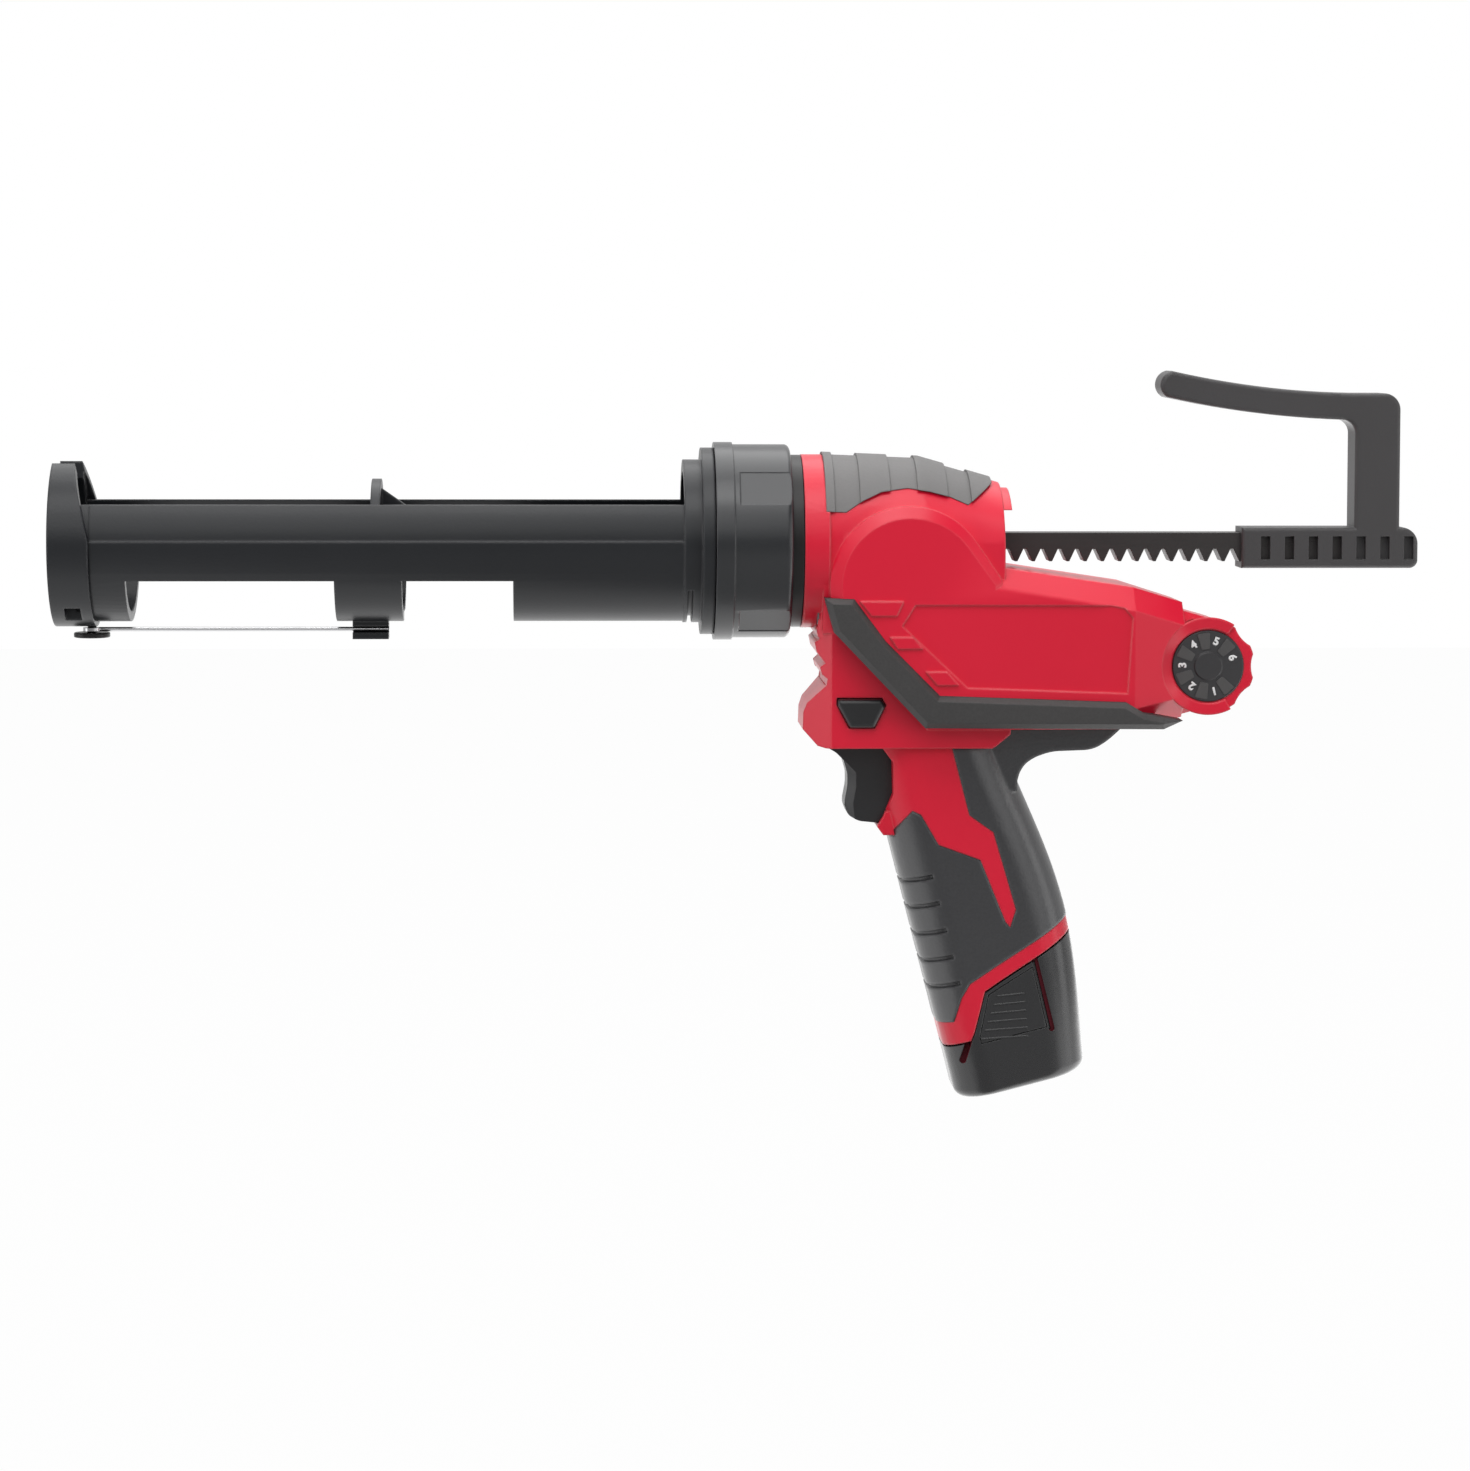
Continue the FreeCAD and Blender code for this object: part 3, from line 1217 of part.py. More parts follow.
def grip_form(swell):
    """Grip and battery foot as one smooth form, in the tool's frame."""
    depth, half, length = num("grip_depth"), num("grip_half"), num("grip_length")
    sections = [rounded(-front * depth - swell, back * depth + swell, width * half + swell,
                        num("grip_corner") + swell, -down * length)
                for down, front, back, width in grip_section_shares]
    return grip_frame(loft(sections, ruled=False))


def grip_prism(shares, close_up, lowered="0"):
    """Part of the grip frame above or below a line of shares, full width."""
    far = -2 if close_up else 2
    line = list(shares) + [(shares[-1][0], far), (shares[0][0], far)]
    spots = spread(line, "0", "grip_depth", f"-{lowered}", "grip_length")
    return grip_frame(prism(spots, "-2 * grip_half", "2 * grip_half"))


def grip_patch(shares, swell="0"):
    """Closed outline in the grip frame drawn out along Y, its sides moved outwards."""
    spots = spread(shares, "0", "grip_depth", "0", "grip_length")
    wire = Part.makePolygon(spots + spots[:1])
    if num(swell):
        wire = wire.makeOffset2D(num(swell), 2)
    solid = Part.Face(wire).extrude(Vector(0, num("4 * grip_half"), 0))
    solid.translate(Vector(0, -num("2 * grip_half"), 0))
    return grip_frame(solid)


def stem_prism(spare, top, foot):
    """Battery stem section between two depths in the grip frame."""
    section = rounded(-num("stem_front") - spare, num("stem_back") + spare, num("stem_half") + spare,
                      num("stem_corner") + spare, -num(foot))
    return grip_frame(Part.Face(section).extrude(Vector(0, 0, num(foot) - num(top))))


def half_space(side):
    """Everything on one side of the split plane."""
    reach = "2 * grip_length"
    y = ("-" + reach, "0") if side == "left" else ("0", reach)
    return box(("-" + reach, "2 * " + reach), y, ("-" + reach, reach))


def both_sides(name, solid):
    """Left and right halves of a moulding."""
    for side in ("left", "right"):
        node(f"{name}_{side}", feature(f"{name}_{side}", solid.common(half_space(side))))


def screw_holes():
    """Housing screws and the holes they sit in, all driven from the right."""
    screws, holes = [], []
    for place, level, half in screw_places:
        seat = f"{half} - screw_head_depth"
        screws.append(rod("Y", "screw_radius", "-screw_reach", seat, place, level))
        screws.append(rod("Y", "screw_head_radius", seat, f"{seat} + screw_head_length", place, level))
        holes.append(rod("Y", "screw_radius + running_gap", "-screw_reach - running_gap", seat, place, level))
        holes.append(rod("Y", "screw_head_radius + seat_gap", seat, f"{half} + head_half", place, level))
    return screws, holes


screw_places = [
    ("head_screw_x", "head_screw_z", "head_back_half"),
    ("barrel_screw_x", "-barrel_screw_drop", "barrel_mid_half"),
    ("chin_screw_x", "-chin_screw_drop", "chin_half"),
    ("front_screw_x", "-front_screw_drop", "board_half + screw_head_depth"),
]


def make_housing():
    head = head_form(0)
    barrel, tail = barrel_form()
    grip = grip_form(0)
    tongue = grip_patch(tongue_shares)
    above_band = grip_prism(band_shares, True)
    heel = prism(spread(heel_shares, "grip_x", "heel_length", "overrun - barrel_bottom", "heel_drop"),
                 "-heel_half", "heel_half")
    lip = Part.Face(head_section("head_rear", "head_back_top - lip_drop", "head_back_half", 0))
    lip = lip.extrude(Vector(num("lip_length"), 0, 0)).common(
        box(("head_rear", "head_rear + lip_length"), ("-head_half", "head_half"), ("lip_bottom", "head_top")))
    guard = prism(spread(guard_shares, "trigger_front", "trigger_length", "-chin_drop", "trigger_height"),
                  "-guard_half", "guard_half")
    outer = merged([head, lip, barrel, tail, chin_form(), rod("X", "nose_radius", "nose_front", "head_start + overrun"),
                    boss_form(), guard])
    pads = []
    for shares in side_pad_shares:
        spots = spread(shares, "pinion_place - side_pad_ahead", "side_pad_span", "-side_pad_top", "side_pad_drop")
        pads.append(prism(spots, "-barrel_half - side_pad_proud", "barrel_half + side_pad_proud"))
    sleeve_floor = grip_form(-num("sleeve_depth"))
    rubber_zone = above_band.cut(tongue)
    rubber = grip_form(num("sleeve_proud")).common(rubber_zone).cut(sleeve_floor)
    rubber = rubber.cut(outer).fuse(heel.cut(outer).cut(grip)).removeSplitter()
    bay = prism(spread(trigger_bay_shares, "trigger_front", "trigger_length", "-chin_drop", "trigger_height"),
                "-2 * chin_half", "2 * chin_half")
    skin = grip_form(num("sleeve_proud + overrun")).cut(grip_form(num("sleeve_proud - groove_depth")))
    first, last = groove_reach_shares
    for share in groove_shares:
        level = f"grip_length * {share}"
        rubber = rubber.cut(skin.common(grip_frame(box(
            (f"grip_depth * {first}", f"grip_depth * {last}"), ("-2 * grip_half", "2 * grip_half"),
            (f"-{level} - groove_width / 2", f"groove_width / 2 - {level}")))))
    rubber = rubber.cut(bay)
    both_sides("grip_sleeve", rubber)

    pad_zone = prism(spread(pad_shares, "head_start", "head_length", "head_top", "head_top"), "-2 * head_half",
                     "2 * head_half")
    pad = head_form(num("pad_proud")).common(pad_zone)
    ribs = head_form(num("pad_rib_proud")).common(pad_zone)
    for first, last in pad_rib_shares:
        start = f"head_start + head_length * {first}"
        stop = f"head_start + head_length * {last}"
        pad = pad.fuse(ribs.common(box((start, stop), ("-2 * head_half", "2 * head_half"), ("0", "2 * head_top"))))
    pad = pad.cut(head_form(-num("pad_depth"))).removeSplitter()
    both_sides("top_pad", pad)

    bumper = spread(bumper_shares, "head_start", "bumper_length", "-bumper_top", "barrel_bottom - bumper_top")
    slab = prism(bumper, "bumper_depth - bumper_half", "bumper_half - bumper_depth")
    wings = []
    for side in (-1, 1):
        wing = prism(bumper, "0", "bumper_half")
        if side < 0:
            wing = prism(bumper, "-bumper_half", "0")
        edges = [edge for edge in wing.Edges if abs(edge.CenterOfMass.y) > num("bumper_half - running_gap")]
        wings.append(wing.makeChamfer(num("bumper_bevel"), edges))
    outer = merged([outer, *pads])
    for side, wing in zip(("left", "right"), wings):
        node(f"bumper_{side}", feature(f"bumper_{side}", wing.cut(outer).cut(grip).cut(slab).cut(heel)))

    panel = spread(panel_shares, "pinion_place", "panel_length", "-panel_top", "panel_height")
    cuts = [bay, prism(panel, "-2 * barrel_half", "2 * barrel_half").cut(between_sides("panel_depth"))]
    cuts += housing_pockets()
    body = merged([outer, grip.cut(rubber_zone.common(grip_form(num("overrun"))).cut(sleeve_floor))])
    body = body.cut(grip_prism(pack_shares, False)).cut(heel.cut(merged([barrel, head, grip])))
    body = body.cut(pad_zone.common(head_form(num("overrun"))).cut(head_form(-num("pad_depth"))))
    for tool in cuts:
        body = body.cut(tool)
    both_sides("housing", body)


def housing_pockets():
    """Rooms for everything that the housing holds."""
    gap = "seat_gap"
    pockets = [
        rod("X", f"neck_waist + {gap}", "nose_front - overrun", "neck_flange_front + overrun"),
        rod("X", f"neck_flange + {gap}", f"neck_flange_front - {gap}", f"frame_front + {gap}"),
        box(("frame_front", f"frame_front + frame_plate + {gap}"),
            (f"-frame_front_half - {gap}", f"frame_front_half + {gap}"),
            (f"-frame_front_drop - {gap}", f"frame_front_height + {gap}")),
        box(("frame_front", f"frame_rear + {gap}"), (f"-frame_half - {gap}", f"frame_half + {gap}"),
            (f"-frame_bottom - {gap}", f"frame_top + {gap}")),
        rod("Y", "bevel_gear_radius + moving_gap", "0", "bevel_gear_back + bevel_hub + moving_gap",
            "pinion_place", "drive_z"),
        rod("X", f"gearbox_radius + {gap}", f"frame_rear - {gap}", f"motor_front + {gap}", "0", "drive_z"),
        rod("X", f"motor_radius + {gap}", "motor_front", f"motor_end + {gap}", "0", "drive_z"),
        box(("frame_rear", "head_rear + overrun"), ("-rod_width / 2 - moving_gap", "rod_width / 2 + moving_gap"),
            ("rack_tip - moving_gap", "rod_top + moving_gap")),
        box((f"head_rear - guide_length - {gap}", "head_rear + overrun"), (f"-guide_half - {gap}", f"guide_half + {gap}"),
            (f"-guide_half - {gap}", f"guide_half + {gap}")),
        box(("trigger_front + trigger_length / 4", "trigger_rear + trigger_travel + moving_gap"),
            ("-trigger_half - moving_gap", "trigger_half + moving_gap"),
            (f"trigger_top - trigger_height * {trigger_step_share} - moving_gap", "-chin_drop")),
        box(("trigger_front + trigger_length / 4",
             f"trigger_front + trigger_length * {trigger_back_share} + trigger_travel + moving_gap"),
            ("-trigger_half - moving_gap", "trigger_half + moving_gap"),
            ("trigger_top - trigger_height - moving_gap", "-chin_drop")),
        box((f"switch_front - {gap}", f"switch_front + switch_length + {gap}"),
            (f"-switch_half - {gap}", f"switch_half + {gap}"),
            (f"trigger_top - switch_height - {gap}", f"trigger_top + {gap}")),
        prism(spread(lock_shares, "lock_start - moving_gap", "lock_length + 2 * moving_gap", "moving_gap - lock_top",
                     "lock_height + 2 * moving_gap"), "-2 * chin_half", "2 * chin_half"),
        rod("Y", "dial_radius + moving_gap", "-2 * dial_outer", "moving_gap - dial_inner", "dial_x", "-dial_drop"),
        box((f"dial_x - control_half - {gap}", f"dial_x + control_half + {gap}"),
            ("-dial_inner", f"control_length - dial_inner + {gap}"),
            (f"-dial_drop - control_half - {gap}", f"control_half - dial_drop + {gap}")),
        box((f"motor_end - {gap}", f"motor_end + board_thickness + {gap}"), (f"-board_half - {gap}", f"board_half + {gap}"),
            (f"-dial_drop - board_height / 2 - {gap}", f"board_height / 2 - dial_drop + {gap}")),
        stem_prism(num("stem_gap"), "stem_top - stem_gap", "2 * grip_length"),
        grip_patch_box("contact_block_front + seat_gap", "contact_block_back + seat_gap",
                       "contact_block_half + seat_gap", "stem_top - stem_gap - contact_block_height - seat_gap",
                       "stem_top"),
    ]
    pockets += [rod("X", "neck_screw_head + seat_gap", "frame_front + frame_plate",
                    "frame_front + frame_plate + neck_screw_head_length + seat_gap", *place)
                for place in neck_screw_places]
    return pockets + screw_holes()[1]


def grip_patch_box(front, back, half, top, foot):
    """Box in the grip frame between two depths."""
    return grip_frame(box(("-(" + front + ")", back), ("-(" + half + ")", half), ("-(" + foot + ")", "-(" + top + ")")))


def make_controls():
    shape = spread(trigger_shares, "trigger_front", "trigger_length", "trigger_top", "trigger_height")
    trigger = prism(shape, "-trigger_half", "trigger_half")
    rounding = [edge for edge in trigger.Edges
                if abs(edge.CenterOfMass.y) > num("trigger_half - running_gap")
                and edge.CenterOfMass.x < num("trigger_front + trigger_length * 0.4")
                and edge.CenterOfMass.z < num("trigger_top - trigger_height * 0.2")
                and edge.CenterOfMass.z > num("trigger_top - trigger_height * 0.85")]
    trigger = trigger.makeChamfer(num("trigger_edge"), rounding)
    level = "trigger_top - switch_height / 2"
    stem = rod("X", "trigger_stem_radius", "trigger_rear", "trigger_rear + trigger_stem", "0", level)
    node("trigger", feature("trigger", trigger.fuse(stem).removeSplitter()))
    body = box(("switch_front", "switch_front + switch_length"), ("-switch_half", "switch_half"),
               ("trigger_top - switch_height", "trigger_top"))
    bore = rod("X", "trigger_stem_radius + running_gap", "switch_front - overrun",
               "trigger_rear + trigger_stem + trigger_travel + moving_gap", "0", level)
    node("trigger_switch", feature("trigger_switch", body.cut(bore)))
    lock = prism(spread(lock_shares, "lock_start", "lock_length", "-lock_top", "lock_height"), "-lock_half", "lock_half")
    rims = [edge for edge in lock.Edges if abs(edge.CenterOfMass.y) > num("lock_half - running_gap")]
    node("lock_button", feature("lock_button", lock.makeChamfer(num("lock_edge"), rims)))


def make_dial():
    wheel = rod("Y", "dial_radius", "-dial_outer", "-dial_inner", "dial_x", "-dial_drop")
    count = int(num("dial_scallops"))
    reach = num("dial_radius + dial_scallop_radius - dial_scallop_depth")
    for index in range(count):
        turned = 2 * math.pi * index / count
        notch = Part.makeCylinder(num("dial_scallop_radius"), num("dial_thickness + 2 * overrun"))
        notch.Placement = Placement(
            Vector(num("dial_x") + reach * math.cos(turned), -num("dial_outer + overrun"),
                   -num("dial_drop") + reach * math.sin(turned)), TURNS["Y"])
        wheel = wheel.cut(notch)
    wheel = wheel.cut(rod("Y", "dial_face_radius", "-dial_outer - overrun", "dial_face_depth - dial_outer",
                          "dial_x", "-dial_drop"))
    shaft = rod("Y", "dial_shaft_radius", "-dial_inner", "dial_shaft - dial_inner", "dial_x", "-dial_drop")
    node("speed_dial", feature("speed_dial", wheel.fuse(shaft).removeSplitter()))
    face = rod("Y", "dial_face_radius - running_gap", "-dial_outer - dial_face_proud", "dial_face_depth - dial_outer",
               "dial_x", "-dial_drop")
    knob = rod("Y", "dial_knob_radius", "-dial_outer - 2 * dial_face_proud", "-dial_outer", "dial_x", "-dial_drop")
    node("dial_face", feature("dial_face", face.fuse(knob).removeSplitter()))
    case = box(("dial_x - control_half", "dial_x + control_half"),
               ("2 * moving_gap - dial_inner", "control_length - dial_inner"),
               ("-dial_drop - control_half", "control_half - dial_drop"))
    node("dial_control", feature("dial_control", case.cut(
        rod("Y", "dial_shaft_radius + running_gap", "-dial_inner", "dial_shaft - dial_inner + overrun", "dial_x",
            "-dial_drop"))))
    node("control_board", block(
        "control_board", ("motor_end", "motor_end + board_thickness"), ("-board_half", "board_half"),
        ("-dial_drop - board_height / 2", "board_height / 2 - dial_drop")))


def grip_skin(outer, inner):
    """Layer of the grip form between two depths below its surface."""
    return grip_form(-num(outer)).cut(grip_form(-num(inner)))


def make_battery():
    pack = grip_form(0).common(grip_prism(pack_shares, False, "pack_gap"))
    foot = min(pack.Faces, key=lambda face: face.CenterOfMass.z)
    pack = pack.makeFillet(num("pack_bottom_round"), foot.Edges)
    pack = pack.cut(stem_prism(num("seat_gap"), "0", "stem_foot + seat_gap"))
    mouth = grip_skin("-overrun", "latch_lip").common(grip_patch(latch_shares))
    room = grip_skin("latch_lip", "latch_depth + latch_travel + moving_gap").common(
        grip_patch(latch_shares, "latch_flange_width"))
    node("battery_case", feature("battery_case", pack.cut(mouth).cut(room)))
    tab = grip_skin("0", "latch_depth").common(grip_patch(latch_shares, "-moving_gap"))
    flange = grip_skin("latch_lip + moving_gap", "latch_depth").common(
        grip_patch(latch_shares, "latch_flange_width - moving_gap"))
    both_sides("battery_latch", tab.fuse(flange).removeSplitter())
    stem = stem_prism(0, "stem_top", "stem_foot")
    stem = stem.cut(stem_prism(-num("stem_wall"), "stem_top + stem_roof", "stem_foot + overrun"))
    blades, slots = [], []
    for step in (-1, 0, 1):
        middle = f"{step} * blade_spacing"
        front = "cell_centre + blade_width / 2"
        back = "blade_width / 2 - cell_centre"
        top = "stem_top - stem_gap - contact_block_height / 2"
        foot = "stem_top + blade_reach"
        for group, spare, high in ((blades, "0", top), (slots, "blade_gap", "stem_top - overrun")):
            group.append(grip_frame(box(
                (f"-({front}) - {spare}", f"{back} + {spare}"),
                (f"{middle} - blade_thickness / 2 - {spare}", f"{middle} + blade_thickness / 2 + {spare}"),
                (f"-({foot}) - {spare}", f"-({high})"))))
    node("battery_stem", feature("battery_stem", stem.cut(slots[0].fuse(slots[1:]))))
    block_solid = grip_patch_box("contact_block_front", "contact_block_back", "contact_block_half",
                                 "stem_top - stem_gap - contact_block_height", "stem_top - stem_gap")
    node("contact_block", feature("contact_block", block_solid.cut(blades[0].fuse(blades[1:]))))
    node("contact_blades", feature("contact_blades", Part.makeCompound(blades)))
    cells = []
    rise = "cell_spacing * sqrt(3) / 4"
    for ahead, side in (("cell_spacing / 2", "-"), ("-cell_spacing / 2", "-"), ("0", "")):
        cell = Part.makeCylinder(num("cell_radius"), num("cell_length"), Vector(
            -num("cell_centre") - num(ahead), num(side + "(" + rise + ")"), -num("stem_foot - seat_gap")))
        cells.append(grip_frame(cell))
    node("battery_cells", feature("battery_cells", Part.makeCompound(cells)))


def make_screws():
    screws = screw_holes()[0]
    pairs = [screws[index].fuse(screws[index + 1]).removeSplitter() for index in range(0, len(screws), 2)]
    node("housing_screws", feature("housing_screws", Part.makeCompound(pairs)))


make_carriage()
make_front_cap()
make_wire()
make_nose()
make_rod()
make_handle()
make_gears()
make_frame()
make_motor()
make_controls()
make_dial()
make_battery()
make_screws()
make_housing()
doc.recompute()

for piece in doc.Objects:
    if "Invalid" in piece.State or "Error" in piece.State:
        raise RuntimeError(f"{piece.Label} did not recompute")
for name, piece in nodes.items():
    if piece.Shape.isNull() or not piece.Shape.isValid() or not piece.Shape.Solids:
        raise RuntimeError(f"{name} has no valid solid")

os.makedirs("parts", exist_ok=True)
for name, piece in nodes.items():
    piece.Shape.exportStep(f"parts/{name}.step")
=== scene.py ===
import json
import math
import bmesh
import bpy
from mathutils import Matrix, Vector


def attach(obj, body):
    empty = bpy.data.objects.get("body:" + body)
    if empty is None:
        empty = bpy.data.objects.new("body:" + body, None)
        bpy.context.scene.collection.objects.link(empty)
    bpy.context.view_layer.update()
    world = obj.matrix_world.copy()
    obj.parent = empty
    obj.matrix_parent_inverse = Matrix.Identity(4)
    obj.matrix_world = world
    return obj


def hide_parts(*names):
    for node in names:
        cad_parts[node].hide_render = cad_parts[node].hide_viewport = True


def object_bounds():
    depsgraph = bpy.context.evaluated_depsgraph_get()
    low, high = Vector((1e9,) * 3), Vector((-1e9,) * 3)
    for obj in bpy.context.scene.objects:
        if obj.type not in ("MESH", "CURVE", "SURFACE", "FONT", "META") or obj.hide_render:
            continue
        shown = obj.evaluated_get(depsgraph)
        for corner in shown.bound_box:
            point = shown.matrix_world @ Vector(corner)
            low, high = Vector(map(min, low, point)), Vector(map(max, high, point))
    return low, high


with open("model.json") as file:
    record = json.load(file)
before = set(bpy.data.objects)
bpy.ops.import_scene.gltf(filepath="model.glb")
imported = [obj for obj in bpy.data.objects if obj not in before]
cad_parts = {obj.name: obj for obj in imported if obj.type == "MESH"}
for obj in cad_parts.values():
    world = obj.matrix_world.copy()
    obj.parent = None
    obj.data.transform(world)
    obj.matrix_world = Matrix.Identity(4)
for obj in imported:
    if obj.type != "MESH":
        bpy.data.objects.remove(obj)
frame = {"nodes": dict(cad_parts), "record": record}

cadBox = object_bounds()
scene = bpy.context.scene
nodes = frame["nodes"]
record = frame["record"]
bodyOf = {name: body for body, names in record["behaviour"]["bodies"].items() for name in names}
quarterTurn = math.radians(90)
print("frame loaded:", len(nodes), "nodes")


# A Wire is one output socket, and + - * on it add Math nodes
class Wire:
    def __init__(self, owner, socket):
        self.owner = owner
        self.socket = socket

    def joined(self, operation, first, second):
        return self.owner.node("ShaderNodeMath", {"operation": operation}, {0: first, 1: second})

    def __add__(self, other):
        return self.joined("ADD", self, other)

    def __radd__(self, other):
        return self.joined("ADD", other, self)

    def __sub__(self, other):
        return self.joined("SUBTRACT", self, other)

    def __rsub__(self, other):
        return self.joined("SUBTRACT", other, self)

    def __mul__(self, other):
        return self.joined("MULTIPLY", self, other)

    def __rmul__(self, other):
        return self.joined("MULTIPLY", other, self)


# One node tree: a material's, the world's or a Geometry Nodes group
class NodeTree:
    def __init__(self, tree):
        self.tree = tree
        tree.nodes.clear()

    # settings go first, because some of them change which sockets there are
    def node(self, kind, settings=None, sockets=None, out=0):
        made = self.tree.nodes.new(kind)
        for key, value in (settings or {}).items():
            if key == "stops":
                fillRamp(made.color_ramp.elements, value)
            else:
                setattr(made, key, value)
        for key, value in (sockets or {}).items():
            for wire in value if isinstance(value, list) else [value]:
                if isinstance(wire, Wire):
                    self.tree.links.new(wire.socket, made.inputs[key])
                else:
                    made.inputs[key].default_value = wire
        return Wire(self, made.outputs[out]) if made.outputs else None


def fillRamp(elements, stops):
    while len(elements) < len(stops):
        elements.new(1.0)
    for element, (place, level) in zip(elements, stops):
        element.position = place
        element.color = (level, level, level, 1.0)


def rgba(colour):
    return (*colour, 1.0)


def newFinish(name):
    material = bpy.data.materials.new(name)
    material.use_nodes = True
    return material, NodeTree(material.node_tree)


noiseMiddle = 0.5  # about what a noise texture gives on average


def noise(tree, scale, detail=2.0, roughness=0.5, stretch=(1.0, 1.0, 1.0)):
    place = tree.node("ShaderNodeTexCoord", out="Object")
    place = tree.node("ShaderNodeMapping", None, {"Vector": place, "Scale": stretch})
    return tree.node("ShaderNodeTexNoise", None, {
        "Vector": place, "Scale": scale, "Detail": detail, "Roughness": roughness}, out="Fac")


def cells(tree, scale):
    place = tree.node("ShaderNodeTexCoord", out="Object")
    return tree.node("ShaderNodeTexVoronoi", None, {"Vector": place, "Scale": scale}, out="Distance")


# inputs 6 and 7 and output 2 are the Mix node's colours
def blend(tree, factor, first, second):
    return tree.node("ShaderNodeMix", {"data_type": "RGBA"}, {0: factor, 6: first, 7: second}, out=2)


def ramp(tree, value, stops):
    return tree.node("ShaderNodeValToRGB", {"stops": stops}, {0: value})


# Rounded shading at the edges, and how far the surface turns there
edgeSet = dict(samples=4, gain=3.2)


def edges(tree, radius):
    rounded = tree.node("ShaderNodeBevel", {"samples": edgeSet["samples"]}, {"Radius": radius})
    plain = tree.node("ShaderNodeNewGeometry", out="Normal")
    facing = tree.node("ShaderNodeVectorMath", {"operation": "DOT_PRODUCT"}, {
        0: rounded, 1: plain}, out="Value")
    turned = tree.node("ShaderNodeMath", {"operation": "MULTIPLY", "use_clamp": True}, {
        0: 1 - facing, 1: edgeSet["gain"]})
    return rounded, turned


def surface(material, tree, look, tone, rough, height, rounded):
    bump = tree.node("ShaderNodeBump", None, {
        "Strength": look["bump"], "Distance": look["depth"], "Height": height, "Normal": rounded})
    shader = tree.node("ShaderNodeBsdfPrincipled", None, {
        "Base Color": tone, "Roughness": rough, "Normal": bump, "Metallic": look.get("metal", 0.0),
        "Specular IOR Level": look.get("specular", 0.5)})
    tree.node("ShaderNodeOutputMaterial", None, {"Surface": shader})
    return material


# Moulded plastic: fine spark-eroded grain, cloudy gloss, edges polished by handling and paler along them,
# partly wear and partly painted highlight
plasticSet = dict(
    cloudDetail=3.0, grainDetail=3.0, grainBreak=0.65, pitScale=0.7, grainHeight=0.7, pitHeight=0.3,
    wearHighlightScale=9, wearHighlightDetail=4.0, wearHighlightBreak=0.7, wearHighlightStops=[(0.3, 0.7), (0.7, 1.0)],
    cloudGloss=0.08, grainGloss=0.06, wearHighlightGloss=0.06)


def plastic(name, look):
    material, tree = newFinish(name)
    cloud = noise(tree, look["cloud"], plasticSet["cloudDetail"])
    grain = noise(tree, look["grain"], plasticSet["grainDetail"], plasticSet["grainBreak"])
    pits = cells(tree, look["grain"] * plasticSet["pitScale"])
    patches = noise(tree, look["cloud"] * plasticSet["wearHighlightScale"], plasticSet["wearHighlightDetail"],
                    plasticSet["wearHighlightBreak"])
    rounded, turned = edges(tree, look["edge"])
    wearAndHighlight = turned * ramp(tree, patches, plasticSet["wearHighlightStops"])
    tone = blend(tree, cloud, rgba(look["dark"]), rgba(look["light"]))
    # the edge mask pushes the tone towards the paler edge tone: partly wear, partly painted highlight
    tone = blend(tree, wearAndHighlight * look["wearAndHighlightShare"], tone, rgba(look["wearAndHighlightTone"]))
    rough = look["rough"] + (cloud - noiseMiddle) * plasticSet["cloudGloss"]
    rough = rough + (grain - noiseMiddle) * plasticSet["grainGloss"] - wearAndHighlight * plasticSet["wearHighlightGloss"]
    height = grain * plasticSet["grainHeight"] + pits * plasticSet["pitHeight"]
    return surface(material, tree, look, tone, rough, height, rounded)


# Over-moulded rubber: soft stipple with a pale bloom on its high points, and paler edges that are partly wear
# and partly painted highlight
rubberSet = dict(
    cloudDetail=3.0, grainScale=1.7, grainDetail=2.0, grainBreak=0.6, stippleHeight=0.7, grainHeight=0.3,
    stippleBloom=0.6, grainBloom=0.5, bloomStops=[(0.3, 0.0), (0.85, 1.0)], faceBloom=0.35, edgeHighlightShare=0.5,
    cloudGloss=0.08, grainGloss=0.12)


def rubber(name, look):
    material, tree = newFinish(name)
    cloud = noise(tree, look["cloud"], rubberSet["cloudDetail"])
    stipple = cells(tree, look["grain"])
    grain = noise(tree, look["grain"] * rubberSet["grainScale"], rubberSet["grainDetail"],
                  rubberSet["grainBreak"])
    rounded, turned = edges(tree, look["edge"])
    tone = blend(tree, cloud, rgba(look["dark"]), rgba(look["light"]))
    paleness = stipple * rubberSet["stippleBloom"] + grain * rubberSet["grainBloom"]
    paleness = ramp(tree, paleness, rubberSet["bloomStops"]) * rubberSet["faceBloom"]
    # the edges are pushed towards the pale tone too: painted highlight along them, with some wear
    paleness = paleness + turned * rubberSet["edgeHighlightShare"]
    tone = blend(tree, paleness * look["wearAndHighlightShare"], tone, rgba(look["wearAndHighlightTone"]))
    rough = look["rough"] + (cloud - noiseMiddle) * rubberSet["cloudGloss"]
    rough = rough + (grain - noiseMiddle) * rubberSet["grainGloss"]
    height = 1 - stipple * rubberSet["stippleHeight"] - grain * rubberSet["grainHeight"]
    return surface(material, tree, look, tone, rough, height, rounded)


# Metal: drawn lines along one axis, patches of tarnish, bright edges that are partly wear and partly painted
# highlight
metalSet = dict(
    cloudDetail=4.0, cloudBreak=0.6, lineDetail=3.0, lineBreak=0.6, drawn=(0.06, 1.0, 1.0),
    cloudTone=0.5, lineTone=0.5, cloudGloss=0.12, lineGloss=0.14)


